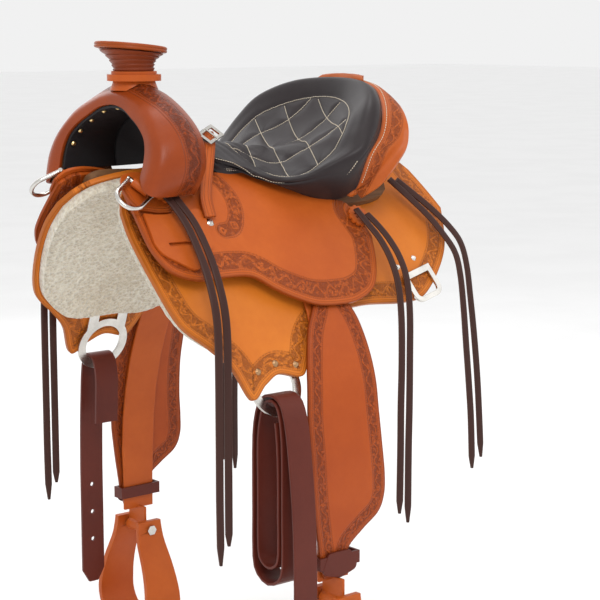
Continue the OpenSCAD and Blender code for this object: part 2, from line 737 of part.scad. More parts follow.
// Stations down the fender: height, distance out, front edge, rear edge
fender_rows = [[-188, 185.4, -12, 44], [-200, 193.2, -20, 50], [-224, 205, -37, 58], [-263, 221, -52, 63],
    [-304, 233, -61, 65], [-347, 241, -67, 64], [-400, 247, -67, 66], [-440, 249, -66, 69], [-470, 249, -63, 68],
    [-494, 249, -60, 57], [-514, 249, -57, 28], [-534, 249, -54, 2], [-554, 249, -51, -4],
    [-fender_foot, 249, -44, -10]];

module fender() color(RUSSET) {
    n = 30;
    rows = [for (i = [0 : n])
        let (r = along([for (q = fender_rows) [q[0], q[1], q[2]]], i / n),
             e = along([for (q = fender_rows) [q[0], q[1], q[3]]], i / n))
        [for (j = [0 : 4]) [mix(r.z, e.z, j / 4), -r.y, r.x]]];
    shell(offset_grid(rows, fender_t / 2), offset_grid(rows, -fender_t / 2));
}
module fender_near() fender();
module fender_off() off_side() fender();

bolt_out = 243;
bolt_z = -fender_foot - 36;
eye_w = 44;

// The fixed upper run of each stirrup leather, from the bar down under the jockey
module hanger() {
    leather([[-20, 124], [10, 124], [40, 124]], [[-20, pivot_s - 12], [10, pivot_s - 12], [40, pivot_s - 12]],
            skirt_t + 2.5, strap_t, 4, 5);
}

module leather_hangers() color(RUSSET) {
    hanger();
    off_side() hanger();
}

// The hanging run of the stirrup leather, down behind the fender to the turned eye for the bolt
leather_rows = [
    concat([10], flank_yz(pivot_s, skirt_t + 4.5)), concat([8], flank_yz(220, skirt_t + 4.5)),
    concat([6], flank_yz(250, skirt_t + 4.7)), concat([4], flank_yz(276, skirt_t + 5)),
    [0, -205.5, -240], [-5, -219, -280], [-11, -231, -330], [-16, -238, -380],
    [-20, -240.5, -430], [fender_x, -241, -480], [fender_x, -241, -530], [fender_x, -241.5, -580]
];
function flank_yz(s, h) = let (p = flank(0, s, h)) [p.y, p.z];

module stirrup_leather() color(RUSSET) {
    n = len(leather_rows) - 1;
    rings = [for (i = [0 : n])
        let (
            r = leather_rows[i],
            lo = leather_rows[max(0, i - 1)],
            hi = leather_rows[min(n, i + 1)],
            d = unit([0, hi[1] - lo[1], hi[2] - lo[2]]),
            w = [i > 9 ? 28 : leather_w / 2, 0, 0],
            o = strap_t / 2 * [0, d.z, -d.y],
            c = [r[0], r[1], r[2]]
        )
        [c - w - o, c + w - o, c + w + o, c - w + o]];
    difference() {
        union() {
            skinned(rings);
            translate([fender_x, -bolt_out, bolt_z]) rotate([90, 0, 0])
                cylinder(r = bolt_r + strap_t, h = eye_w, center = true, $fn = 40);
            translate([fender_x - strap_t / 2, -bolt_out - eye_w / 2, bolt_z + bolt_r + 1])
                cube([strap_t, eye_w, -576 - bolt_z - bolt_r - 1]);
        }
        translate([fender_x, -bolt_out, bolt_z]) rotate([90, 0, 0])
            cylinder(r = bolt_r + 0.1, h = eye_w + 2, center = true, $fn = 40);
    }
}
module leather_near() stirrup_leather();
module leather_off() off_side() stirrup_leather();

// The strap that binds the foot of the fender to the leather
module hobble() color(BURGUNDY) {
    x0 = fender_x - 36;
    x1 = fender_x + 38;
    difference() {
        translate([x0, -256.5, -560]) cube([x1 - x0, 22, 18]);
        translate([x0 + 3.5, -253, -562]) cube([x1 - x0 - 7, 15, 22]);
    }
    translate([fender_x + 1, -253, -562]) rotate([90, 0, 0]) linear_extrude(4) hull() {
        translate([-17, 18]) circle(r = 7, $fn = 24);
        translate([15, 18]) circle(r = 7, $fn = 24);
        translate([-22, 2]) circle(r = 9, $fn = 24);
        translate([22, 2]) circle(r = 9, $fn = 24);
        translate([0, -2]) circle(r = 11, $fn = 32);
    }
}
module hobble_near() hobble();
module hobble_off() off_side() hobble();

// Half the stirrup's side, from the bolt down to the tread, as [out, down]
wood_t = 10;
side_half = [[eye_w / 2 + 8, 14], [eye_w / 2 + 9, 0], [eye_w / 2 + 14, -22], [stirrup_w / 2 - 8, -60],
    [stirrup_w / 2 + 3, -96], [stirrup_w / 2 + 4, -stirrup_h + 22], [stirrup_w / 2 - 10, -stirrup_h - 2],
    [stirrup_w / 4, -stirrup_h - 6]];

module stirrup() color(RUSSET) {
    half = smooth(side_half, 20);
    line = concat(half, [[0, -stirrup_h - 6]], [for (i = [20 : -1 : 0]) [-half[i].x, half[i].y]]);
    n = len(line) - 1;
    rings = [for (i = [0 : n])
        let (
            p = [fender_x, -bolt_out + line[i].x, bolt_z + line[i].y],
            a = line[max(0, i - 1)],
            b = line[min(n, i + 1)],
            d = unit([0, b.x - a.x, b.y - a.y]),
            o = wood_t / 2 * [0, d.z, -d.y],
            w = [mix(21, tread_d / 2, min(1, max(0, (14 - line[i].y) / 120))), 0, 0]
        )
        [p - w - o, p + w - o, p + w + o, p - w + o]];
    difference() {
        skinned(rings);
        translate([fender_x, -bolt_out, bolt_z]) rotate([90, 0, 0])
            cylinder(r = bolt_r, h = 120, center = true, $fn = 40);
    }
}
module stirrup_near() stirrup();
module stirrup_off() off_side() stirrup();

module bolt() color(STEEL) {
    translate([fender_x, -bolt_out, bolt_z]) rotate([90, 0, 0]) {
        cylinder(r = bolt_r, h = eye_w + 34, center = true, $fn = 40);
        for (s = [0, 1]) mirror([0, 0, s]) translate([0, 0, eye_w / 2 + 14.8])
            cylinder(r = bolt_r + 3.5, h = 4, $fn = 6);
    }
}
module bolt_near() bolt();
module bolt_off() off_side() bolt();

// ---------- Latigo and off billet ----------

// The latigo's path in the YZ plane: two hanging turns through the ring, then the long end
latigo_line = [[-237, -340], [-241, -370], [-243, -420], [-243, -470], [-243, -526],
    [-236, -543], [-221, -549], [-206, -543], [-199, -526],
    [-199, -470], [-199, -420], [-199, -370], [-205, -336], [-213, -318], [-225, -311], [-238, -315],
    [-246, -332], [-251, -365], [-252, -420], [-252, -480], [-252, -540],
    [-243, -563], [-220, -573], [-197, -563], [-188, -540],
    [-188, -480], [-188, -420], [-189, -365], [-195, -332], [-206, -311], [-224, -304], [-242, -308],
    [-253, -322], [-261, -350], [-267, -390], [-274, -450], [-278, -520], [-279, -600]];
strap_x = ring_x;
long_end = -760;

module punched(z0, out, count, pitch) {
    for (i = [0 : count - 1])
        translate([strap_x, out, z0 - i * pitch]) rotate([90, 0, 0])
            cylinder(r = strap_hole_r, h = 20, center = true, $fn = 32);
}

// A flat tapered end of a strap, hanging straight down
module strap_tip(out, top, foot) {
    difference() {
        translate([strap_x, out + strap_t / 2, 0]) rotate([90, 0, 0]) linear_extrude(strap_t)
            polygon([[-strap_w / 2, top], [strap_w / 2, top], [strap_w / 2, foot + 20], [strap_w / 2 - 12, foot],
                     [-strap_w / 2 + 12, foot], [-strap_w / 2, foot + 20]]);
        punched(top - 30, out, 3, 45);
    }
}

module latigo() color(BURGUNDY) {
    line = [for (p = smooth(latigo_line, 74)) [strap_x, p.x, p.y]];
    strap(line, strap_w, strap_t);
    strap_tip(-279, -599.5, long_end);
}

billet_line = [[-207, -420], [-205, -380], [-204, -345], [-211, -320], [-225, -312], [-238, -318],
    [-244, -345], [-247, -380], [-250, -430], [-252, -500]];

module off_billet() color(BURGUNDY) off_side() {
    line = [for (p = smooth(billet_line, 24)) [strap_x, p.x, p.y]];
    strap(line, strap_w, strap_t);
    strap_tip(-252, -499.5, -690);
}

tree_bars();
fork_core();
cantle_board();
horn_post();
horn_cap();
horn_wrap();
horn_collar();
fork_cover();
gullet_lining();
gullet_tacks();
ground_seat();
seat_cushion();
cantle_roll();
cantle_back();
jockey_near();
jockey_off();
front_jockey_near();
front_jockey_off();
latigo_keeper();
skirt_near();
skirt_off();
fleece_near();
fleece_off();
rigging_ring_near();
rigging_ring_off();
rear_dee_near();
rear_dee_off();
copper_rivets();
steel_rivets();
breast_dee_near();
breast_dee_off();
dee_loops();
string_rosettes();
string_front_near_a();
string_front_near_b();
string_front_off_a();
string_front_off_b();
string_seat_near_a();
string_seat_near_b();
string_seat_off_a();
string_seat_off_b();
string_rear_near_a();
string_rear_near_b();
string_rear_off_a();
string_rear_off_b();
rope_strap();
rope_buckle();
leather_hangers();
leather_near();
leather_off();
fender_near();
fender_off();
hobble_near();
hobble_off();
stirrup_near();
stirrup_off();
bolt_near();
bolt_off();
latigo();
off_billet();
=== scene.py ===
# %% [markdown]
# # A western saddle, finished in Blender
# The saddle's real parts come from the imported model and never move.
# This lesson lays the visible leather, wool, thread and steel around them.
# Lengths in the number lists are millimetres; meshes are written in metres.

# %% Load the frame
import json
import math

import bmesh
import bpy
import numpy as np
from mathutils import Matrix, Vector
from mathutils.bvhtree import BVHTree


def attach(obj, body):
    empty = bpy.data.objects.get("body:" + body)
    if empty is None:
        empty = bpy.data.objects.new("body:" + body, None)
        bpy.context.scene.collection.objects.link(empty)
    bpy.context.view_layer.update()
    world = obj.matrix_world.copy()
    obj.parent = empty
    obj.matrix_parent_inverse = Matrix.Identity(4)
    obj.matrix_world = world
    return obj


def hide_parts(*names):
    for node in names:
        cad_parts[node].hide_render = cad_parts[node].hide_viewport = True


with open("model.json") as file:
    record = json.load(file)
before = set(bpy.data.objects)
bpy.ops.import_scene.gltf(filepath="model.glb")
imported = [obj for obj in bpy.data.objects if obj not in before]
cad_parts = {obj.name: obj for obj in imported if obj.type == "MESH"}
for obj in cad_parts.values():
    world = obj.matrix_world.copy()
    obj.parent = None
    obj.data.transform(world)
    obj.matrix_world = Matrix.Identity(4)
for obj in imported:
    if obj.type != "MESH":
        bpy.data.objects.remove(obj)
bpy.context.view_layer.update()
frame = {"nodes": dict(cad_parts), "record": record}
MM = 0.001

# %% [markdown]
# ## Curves and grids
# A leather panel is a patch of a curved surface between two outlines.
# A Catmull-Rom curve runs through every point given to it, so an outline can
# be written as a few points that a maker would mark on a pattern.

# %% Curves and grids
def along(points, u):
    """Points of the Catmull-Rom curve through points, at the shares u of its parameter.
    Between b and c the curve is the usual cubic of the four neighbours a, b, c, d."""
    p = np.asarray(points, float)
    last = len(p) - 1
    u = np.asarray(u, float) * last
    i = np.minimum(u.astype(int), last - 1)
    t = (u - i).reshape(-1, *[1] * (p.ndim - 1))
    a, b, c, d = p[np.maximum(i - 1, 0)], p[i], p[i + 1], p[np.minimum(i + 2, last)]
    start = 2 * b + (c - a) * t + (2 * a - 5 * b + 4 * c - d) * t**2
    return 0.5 * (start + (3 * b - a - 3 * c + d) * t**3)


def smooth(points, n):
    """n + 1 points of that curve, evenly spaced by parameter."""
    return along(points, np.arange(n + 1) / n)


def lengths(line):
    """Distance run along a line at each of its points."""
    return np.concatenate([[0], np.cumsum(np.linalg.norm(np.diff(line, axis=0), axis=-1))])


def spread(line, n):
    """The distance run along a line, repeated in n columns."""
    return np.repeat(lengths(line)[:, None], n, 1)


def row_lengths(grid):
    """The same distance for every row of a grid, from its first column outwards."""
    steps = np.linalg.norm(np.diff(grid, axis=1), axis=2)
    return np.concatenate([np.zeros((len(grid), 1)), steps.cumsum(1)], 1)


def ruled(a, b, n):
    """Grid between two curves: point (i, j) = a[i] + (b[i] - a[i]) j / n."""
    t = np.linspace(0, 1, n + 1)[None, :, None]
    return a[:, None] * (1 - t) + b[:, None] * t


def unit(v):
    """v divided by its own length."""
    return v / np.maximum(np.linalg.norm(v, axis=-1, keepdims=True), 1e-9)


def normals(g):
    """Unit normals of a grid: the cross product of its two central differences."""
    return unit(np.cross(np.gradient(g, axis=0), np.gradient(g, axis=1)))


def facing(g, direction):
    """Those normals, all turned over where on average they look against a direction."""
    n = normals(g)
    return n * np.sign((n * direction).sum(-1).mean())


def smoothstep(lo, hi, v):
    """0 below lo, 1 above hi, and 3t^2 - 2t^3 between."""
    t = np.clip((v - lo) / (hi - lo), 0, 1)
    return t * t * (3 - 2 * t)


print("helpers for curves and grids are ready")

# %% [markdown]
# ## The horse's flank
# Every skirt leather lies on one surface, which falls away from the spine and grows
# steeper as it goes down. A place on it is x (along the horse), s (down the flank) and
# h (height above the surface), which is how a leather pattern is drawn flat.

# %% The horse's flank
SLOPE_TOP, SLOPE_FOOT, SLOPE_RUN = 38.0, 74.0, 430.0
ROCKER, ROCKER_AT = 18.0, 330
BEND = math.radians(SLOPE_FOOT - SLOPE_TOP) / SLOPE_RUN
SKIRT_T, JOCKEY_T, LEAF_T, FLEECE_T, GAP, BAR_T = 7.0, 5.0, 4.0, 15.0, 0.6, 12.0
BAR_H = SKIRT_T + GAP
JOCKEY_H = BAR_H + BAR_T + 4
LEAF_H = JOCKEY_H + JOCKEY_T + GAP


def flank(x, s, h):
    """Points on the flank: an arc of slope a = SLOPE_TOP + BEND s, raised by h along its
    normal (0, -sin a, cos a), with the ends lifted by ROCKER (x / ROCKER_AT)^2."""
    x, s, h = np.broadcast_arrays(np.asarray(x, float), s, h)
    top = math.radians(SLOPE_TOP)
    a = top + BEND * s
    y = -(np.sin(a) - math.sin(top)) / BEND - h * np.sin(a)
    z = (np.cos(a) - math.cos(top)) / BEND + h * np.cos(a) + ROCKER * (x / ROCKER_AT) ** 2
    return np.stack([x, y, z], -1)


print("slope at 200 mm down:", round(math.degrees(BEND * 200) + SLOPE_TOP, 1), "degrees")

# %% [markdown]
# ## From arrays to meshes
# A leather is the closed shell between its face and its back. The rim joins the two.
# A fine bevel rounds the rim, as an edge slicker does on a bench.

# %% From arrays to meshes
SHARP_EDGE = math.radians(40)


def tooling(rim, run):
    """The two measures that a stamped border reads, for a piece's mesh: the distance
    from the leather's edge and the distance along it."""
    return {"rim": rim * MM, "run": run * MM}


def write_piece(name, points, faces, attributes=None):
    """A mesh object at the origin, from points in mm, faces, and one number per point."""
    mesh = bpy.data.meshes.new(name)
    mesh.from_pydata((np.asarray(points) * MM).tolist(), [], faces)
    for key, values in (attributes or {}).items():
        layer = mesh.attributes.new(key, "FLOAT", "POINT")
        layer.data.foreach_set("value", np.asarray(values, np.float32).ravel())
    mesh.polygons.foreach_set("use_smooth", np.ones(len(mesh.polygons), bool))
    mesh.update()
    piece = bpy.data.objects.new(name, mesh)
    bpy.context.scene.collection.objects.link(piece)
    return piece


def shell_faces(m, n, closed=False):
    """Quads of two m by n grids stacked as face then back, and of the rim that joins them.
    With closed, the rows form a ring, and only the last column has a rim."""
    i, j = np.meshgrid(np.arange(m if closed else m - 1), np.arange(n - 1), indexing="ij")
    a = (i * n + j).ravel()
    c = (((i + 1) % m) * n + j).ravel()
    b = m * n
    quads = [np.stack([a, c, c + 1, a + 1], 1),
             np.stack([b + a, b + a + 1, b + c + 1, b + c], 1)]
    r = np.arange(m if closed else m - 1)
    d, e = r * n + n - 1, ((r + 1) % m) * n + n - 1
    quads.append(np.stack([d, e, b + e, b + d], 1))
    if not closed:
        a, c = r * n, (r + 1) * n
        quads.append(np.stack([a, b + a, b + c, c], 1))
        k = np.arange(n - 1)
        q = (m - 1) * n + k
        quads.append(np.stack([k, k + 1, b + k + 1, b + k], 1))
        quads.append(np.stack([q, b + q, b + q + 1, q + 1], 1))
    return np.concatenate(quads).tolist()


def shell(name, face, back, attributes=None, closed=False):
    """A closed shell whose face grid looks along cross(du, dv), and whose back looks away.
    With closed, the ring in the first column of each grid is filled by one face."""
    m, n = face.shape[:2]
    points = np.concatenate([face.reshape(-1, 3), back.reshape(-1, 3)])
    both = {k: np.tile(v.ravel(), 2) for k, v in (attributes or {}).items()}
    faces = shell_faces(m, n, closed)
    if closed:
        faces += [[i * n for i in range(m)][::-1], [m * n + i * n for i in range(m)]]
    return write_piece(name, points, faces, both)


def mirrored(piece, name):
    """The off side's twin: y changes sign and every face turns over, so it still looks out."""
    mesh = piece.data.copy()
    mesh.name = name
    co = np.zeros(len(mesh.vertices) * 3, np.float32)
    mesh.vertices.foreach_get("co", co)
    co[1::3] *= -1
    mesh.vertices.foreach_set("co", co)
    mesh.flip_normals()
    mesh.update()
    twin = bpy.data.objects.new(name, mesh)
    bpy.context.scene.collection.objects.link(twin)
    return twin


def soften(piece, width):
    """Rounds the rims of a piece that are sharper than SHARP_EDGE by width, in mm."""
    edge = piece.modifiers.new("edge", "BEVEL")
    edge.width = width * MM
    edge.segments = 2
    edge.limit_method = "ANGLE"
    edge.angle_limit = SHARP_EDGE
    return piece


def outline_distance(points, outline):
    """For flat points, the distance to an outline and how far along it the nearest place is."""
    steps = np.linalg.norm(np.diff(outline, axis=0), axis=1)
    passed = lengths(outline)
    flat = points.reshape(-1, 2)
    best, run = np.full(len(flat), 1e9), np.zeros(len(flat))
    for k in range(len(outline) - 1):
        a, d = outline[k], outline[k + 1] - outline[k]
        t = np.clip(((flat - a) @ d) / max(d @ d, 1e-9), 0, 1)
        far = np.linalg.norm(flat - a - t[:, None] * d, axis=1)
        near = far < best
        best[near] = far[near]
        run[near] = (passed[k] + t * steps[k])[near]
    return best.reshape(points.shape[:-1]), run.reshape(points.shape[:-1])


print("helpers for meshes are ready")

# %% [markdown]
# ## Camera and light
# The saddle is seen from its near side, a little ahead and a little above, through a
# long lens. Four big soft lamps and a bright surround act as a light tent.

# %% Camera and light
def aim(thing, place, target):
    """Puts thing at place and turns its -Z axis to the target."""
    thing.location = place
    thing.rotation_mode = "QUATERNION"
    thing.rotation_quaternion = (Vector(target) - Vector(place)).to_track_quat("-Z", "Y")
    bpy.context.scene.collection.objects.link(thing)


AZIMUTH, ELEVATION, DISTANCE = math.radians(-40), math.radians(9), 2.6
target = Vector((0.0696, -0.060, -0.2112))
LAMP_TARGET = (0, 0, -0.15)
back = Vector((math.sin(AZIMUTH) * math.cos(ELEVATION),
               -math.cos(AZIMUTH) * math.cos(ELEVATION), math.sin(ELEVATION)))
camera = bpy.data.objects.new("camera", bpy.data.cameras.new("camera"))
camera.data.sensor_width = 36
camera.data.lens = 104
aim(camera, target + back * DISTANCE, target)
bpy.context.scene.camera = camera


def lamp(name, place, size, power):
    """A square area lamp aimed at the saddle."""
    light = bpy.data.lights.new(name, "AREA")
    light.size = size
    light.energy = power
    aim(bpy.data.objects.new(name, light), place, LAMP_TARGET)


lamp("key", (-1.6, -2.2, 2.2), 1.2, 44)
lamp("fill", (2.4, -1.8, 1.2), 2.0, 8)
lamp("top", (0.2, 0.6, 2.6), 1.4, 22)
lamp("rear", (0.6, 2.6, 1.0), 2.0, 12)
world = bpy.data.worlds.new("tent")
bpy.context.scene.world = world
world.use_nodes = True
surround = world.node_tree.nodes["Background"].inputs
surround["Color"].default_value = (1, 1, 1, 1)
surround["Strength"].default_value = 0.88
bpy.context.scene.view_settings.view_transform = "Standard"
print("camera at", tuple(round(v, 3) for v in camera.location))

# %% [markdown]
# ## Writing materials as short recipes
# A material is a graph of nodes. This small class adds one node per call and hands
# back its output, so a finish reads like a recipe: noise, then colour, then bump.

# %% Writing materials as short recipes
class Recipe:
    """One material: each method adds a node and returns the socket that carries its result."""

    def __init__(self, name, rough, metal=0.0, coat=0.0, sheen=0.0):
        """An empty graph: one shader, and the place on the object as its coordinates."""
        self.mat = bpy.data.materials.new(name)
        self.mat.use_nodes = True
        self.tree = self.mat.node_tree
        self.tree.nodes.clear()
        self.shader = self.add("BsdfPrincipled")
        self.add("OutputMaterial", Surface=self.shader.outputs[0])
        for key, value in {"Roughness": rough, "Metallic": metal, "Coat Weight": coat,
                           "Specular IOR Level": 0.5 if metal else 0.2,
                           "Coat Roughness": 0.25, "Sheen Weight": sheen}.items():
            self.shader.inputs[key].default_value = value
        self.place = self.add("TexCoord").outputs["Object"]

    def put(self, socket, value):
        """Links a socket to another, or sets it to a number."""
        if isinstance(value, bpy.types.NodeSocket):
            self.tree.links.new(value, socket)
        else:
            socket.default_value = value

    def add(self, kind, **inputs):
        """A new node of a kind, with its named inputs linked or set."""
        node = self.tree.nodes.new("ShaderNode" + kind)
        for key, value in inputs.items():
            self.put(node.inputs[key], value)
        return node

    def math(self, operation, a, b=0.0):
        """One arithmetic step on numbers or sockets."""
        node = self.add("Math")
        node.operation = operation
        for socket, value in zip(node.inputs, (a, b)):
            self.put(socket, value)
        return node.outputs[0]

    def times(self, a, b):
        """a multiplied by b."""
        return self.math("MULTIPLY", a, b)

    def mix(self, share, a, b):
        """Colour a where share is 0, colour b where it is 1."""
        node = self.add("Mix")
        node.data_type = "RGBA"
        self.put(node.inputs[0], share)
        self.put(node.inputs[6], (*a, 1) if isinstance(a, tuple) else a)
        self.put(node.inputs[7], (*b, 1) if isinstance(b, tuple) else b)
        return node.outputs[2]

    def stain(self, tone, share, strength, colour):
        """tone with a colour mixed into it by strength where share is 1."""
        return self.mix(self.times(share, strength), tone, colour)

    def noise(self, scale, detail=3.0, rough=0.5, vector=None):
        """Cloudy noise with scale features per metre."""
        return self.add("TexNoise", Scale=scale, Detail=detail, Roughness=rough,
                        Vector=vector or self.place).outputs[0]

    def cells(self, scale, vector=None, feature="F1"):
        """Distance to the nearest of scattered cell centres, scale cells per unit, or
        with the feature DISTANCE_TO_EDGE to the nearest border between two cells."""
        node = self.add("TexVoronoi", Scale=scale, Vector=vector or self.place)
        node.feature = feature
        return node.outputs["Distance"]

    def read(self, name):
        """The piece's own attribute of that name."""
        node = self.add("Attribute")
        node.attribute_name = name
        return node.outputs["Fac"]

    def remap(self, value, lo, hi, to_lo=0.0, to_hi=1.0):
        """Carries lo..hi to to_lo..to_hi, clamped at both ends."""
        node = self.add("MapRange")
        for socket, v in zip(node.inputs, (value, lo, hi, to_lo, to_hi)):
            self.put(socket, v)
        return node.outputs[0]

    def band(self, value, lo, hi, soft):
        """1 between lo and hi, falling to 0 over soft on each side."""
        rise = self.remap(value, lo - soft, lo + soft)
        fall = self.remap(value, hi - soft, hi + soft, 1.0, 0.0)
        return self.times(rise, fall)

    def flat(self, u, v):
        """A vector from two numbers, for a pattern drawn in a piece's own directions."""
        return self.add("CombineXYZ", X=u, Y=v).outputs[0]

    def bump(self, height, distance, strength=1.0):
        """Tilts the surface by a height, in metres at full scale."""
        node = self.add("Bump", Strength=strength, Distance=distance, Height=height)
        last = self.shader.inputs["Normal"]
        if last.is_linked:
            self.tree.links.new(last.links[0].from_socket, node.inputs["Normal"])
        self.tree.links.new(node.outputs[0], last)

    def colour(self, tone):
        """Makes a socket's colour the base colour."""
        self.put(self.shader.inputs["Base Color"], tone)


print("the recipe class is ready")

# %% [markdown]
# ## Tooled leather
# Saddle leather is carved and stamped while damp, then oiled. The carver runs a swivel
# knife beside the edge and fills a band with stamped leaves. The band here is drawn in
# the leather's own measure: rim is the distance from the edge, run the distance along it.

# %% Tooled leather
BEAD_PITCH, LEAF_PITCH = 0.0034, 0.013


def stamped(r, tone, rim, run, lo, hi, dark):
    """Stamps a band between rim = lo and rim = hi. Its vine swings by 0.45 sin of run, in
    half widths of the band, its leaves are cells sized by LEAF_PITCH, and a row of beads
    BEAD_PITCH apart closes each side."""
    middle, half = (lo + hi) / 2, (hi - lo) / 2
    inside = r.band(rim, lo + 0.002, hi - 0.002, 0.001)
    wave = r.math("SINE", r.times(run, 2 * math.pi / (2.2 * LEAF_PITCH)))
    across = r.math("DIVIDE", r.math("SUBTRACT", rim, middle), half)
    vine = r.math("ABSOLUTE", r.math("SUBTRACT", across, r.times(wave, 0.45)))
    stem = r.remap(vine, 0.10, 0.26, 1.0, 0.0)
    sway = r.times(r.noise(160.0, 2.0, 0.5), 0.008)
    leafy = r.flat(r.math("ADD", run, sway), r.math("ADD", rim, sway))
    petals = r.cells(1.0 / (0.55 * LEAF_PITCH), leafy)
    veins = r.cells(1.0 / (0.30 * LEAF_PITCH), leafy, "DISTANCE_TO_EDGE")
    raised = r.math("MAXIMUM", stem, r.remap(petals, 0.28, 0.52, 1.0, 0.0))
    sunk = r.times(inside, r.math("SUBTRACT", 1.0, raised))
    cracks = r.times(inside, r.remap(veins, 0.02, 0.16, 1.0, 0.0))
    tone = r.stain(tone, sunk, 0.62, dark)
    tone = r.stain(tone, cracks, 0.45, dark)
    r.bump(r.math("SUBTRACT", 1.0, sunk), 0.0011, 0.9)
    r.bump(r.math("SUBTRACT", 1.0, cracks), 0.0005, 0.8)
    bead = r.math("ABSOLUTE", r.math("SINE", r.times(run, math.pi / BEAD_PITCH)))
    for at in (lo, hi):
        row = r.times(r.band(rim, at - 0.0009, at + 0.0009, 0.0006), r.math("POWER", bead, 0.6))
        tone = r.stain(tone, row, 0.55, dark)
        r.bump(row, -0.0006, 0.9)
    return tone


def leather(name, base, deep, rough=0.42, border=None, line=None, arc=None, grain=1.0):
    """Oiled leather: cloudy colour, pores, a burnished edge, grooves at the distances in
    line, and a stamped band where rim lies between border's two distances, in metres.
    With arc, a second band of that half width follows the arc stored on the piece."""
    r = Recipe(name, rough, coat=0.06)
    cloud = r.remap(r.noise(9.0, 4.0, 0.6), 0.36, 0.66)
    fleck = r.remap(r.noise(130.0, 3.0, 0.7), 0.3, 0.75)
    tone = r.stain(base, cloud, 0.55, deep)
    tone = r.stain(tone, fleck, 0.22, deep)
    pores = r.math("ADD", r.cells(1100.0), r.times(r.noise(420.0, 4.0, 0.6), 0.8))
    r.bump(pores, 0.00022 * grain, 0.5)
    dark = tuple(0.42 * v for v in deep)
    if border or line:
        rim, run = r.read("rim"), r.read("run")
        worn = r.band(rim, -0.01, 0.0022, 0.0009)
        tone = r.stain(tone, worn, 0.55, dark)
        for at in line or ():
            groove = r.band(rim, at - 0.0005, at + 0.0005, 0.0006)
            tone = r.stain(tone, groove, 0.5, dark)
            r.bump(groove, -0.0006, 0.9)
    if border:
        tone = stamped(r, tone, rim, run, *border, dark)
    if arc:
        tone = stamped(r, tone, r.read("arc"), r.read("arc_run"), -arc, arc, dark)
    r.colour(tone)
    return r.mat


RUSSET, RUSSET_DEEP = (0.50, 0.102, 0.012), (0.37, 0.058, 0.006)
TAN, TAN_DEEP = (0.66, 0.190, 0.018), (0.52, 0.120, 0.010)
jockey_leather = leather("jockey_leather", RUSSET, RUSSET_DEEP, 0.45,
                         (0.008, 0.036), (0.004,), 0.012)
skirt_leather = leather("skirt_leather", TAN, TAN_DEEP, 0.42, (0.008, 0.032), (0.004,))
fender_leather = leather("fender_leather", (0.43, 0.076, 0.007), (0.32, 0.046, 0.004), 0.42,
                         (0.006, 0.024), (0.003,))
fork_leather = leather("fork_leather", (0.30, 0.050, 0.007), (0.18, 0.026, 0.004), 0.34,
                       (0.036, 0.066), (0.032, 0.070))
roll_leather = leather("roll_leather", (0.52, 0.118, 0.019), (0.38, 0.070, 0.011), 0.42,
                       (0.012, 0.032), (0.009,))
plain_leather = leather("plain_leather", RUSSET, RUSSET_DEEP)
lined_leather = leather("lined_leather", RUSSET, RUSSET_DEEP, line=(0.003, 0.0065))
latigo_leather = leather("latigo_leather", (0.115, 0.019, 0.010), (0.075, 0.011, 0.006), 0.40)
wrap_leather = leather("wrap_leather", (0.24, 0.048, 0.016), (0.15, 0.028, 0.010), 0.40)
black_leather = leather("black_leather", (0.020, 0.018, 0.019), (0.012, 0.010, 0.011), 0.55,
                        grain=1.4)
print("leathers mixed")

# %% [markdown]
# ## Seat leather, wool, thread, wood and metal
# The seat is a soft charcoal leather with a satin glow. Woolskin is curly and matt.
# Waxed thread is cream. The tree is stained wood, and the fittings are stainless steel.

# %% Seat leather, wool, thread, wood and metal
def seat_finish():
    """Charcoal garment leather: fine pebble, soft highlight."""
    r = Recipe("seat_leather", 0.42, coat=0.06, sheen=0.03)
    cloud = r.remap(r.noise(14.0, 4.0, 0.6), 0.35, 0.7)
    tone = r.mix(cloud, (0.018, 0.013, 0.014), (0.030, 0.023, 0.024))
    pebble = r.math("ADD", r.cells(800.0), r.times(r.noise(300.0, 4.0, 0.6), 0.7))
    r.bump(pebble, 0.0003, 0.5)
    r.colour(tone)
    return r.mat


def string_finish():
    """Dark latigo string: streaks along the strip, lighter worn edges."""
    r = Recipe("string_leather", 0.5, coat=0.05)
    lengthwise = r.flat(r.times(r.read("across"), 8.0), r.read("run"))
    streak = r.noise(60.0, 4.0, 0.6, lengthwise)
    tone = r.mix(r.remap(streak, 0.35, 0.7), (0.032, 0.010, 0.007), (0.060, 0.022, 0.016))
    edge = r.remap(r.math("ABSOLUTE", r.read("across")), 0.72, 0.98)
    tone = r.stain(tone, edge, 0.35, (0.12, 0.06, 0.045))
    r.bump(r.noise(500.0, 3.0, 0.6), 0.0003, 0.5)
    r.colour(tone)
    return r.mat


def wool_finish():
    """Cream woolskin: curls in two sizes and a strong sheen."""
    r = Recipe("woolskin", 0.95, sheen=0.6)
    curl = r.cells(190.0)
    tone = r.mix(r.remap(curl, 0.1, 0.8), (0.60, 0.52, 0.39), (0.80, 0.75, 0.63))
    tone = r.stain(tone, r.remap(r.noise(12.0), 0.4, 0.7), 0.4, (0.55, 0.45, 0.31))
    r.bump(curl, 0.004, 0.9)
    r.bump(r.noise(420.0, 4.0, 0.7), 0.002, 0.8)
    r.colour(tone)
    return r.mat


def thread_finish():
    """Cream waxed thread with its twist."""
    r = Recipe("cream_thread", 0.6)
    tone = r.mix(r.remap(r.noise(900.0), 0.35, 0.7), (0.62, 0.53, 0.40), (0.80, 0.72, 0.58))
    r.bump(r.noise(2500.0), 0.0002, 0.6)
    r.colour(tone)
    return r.mat


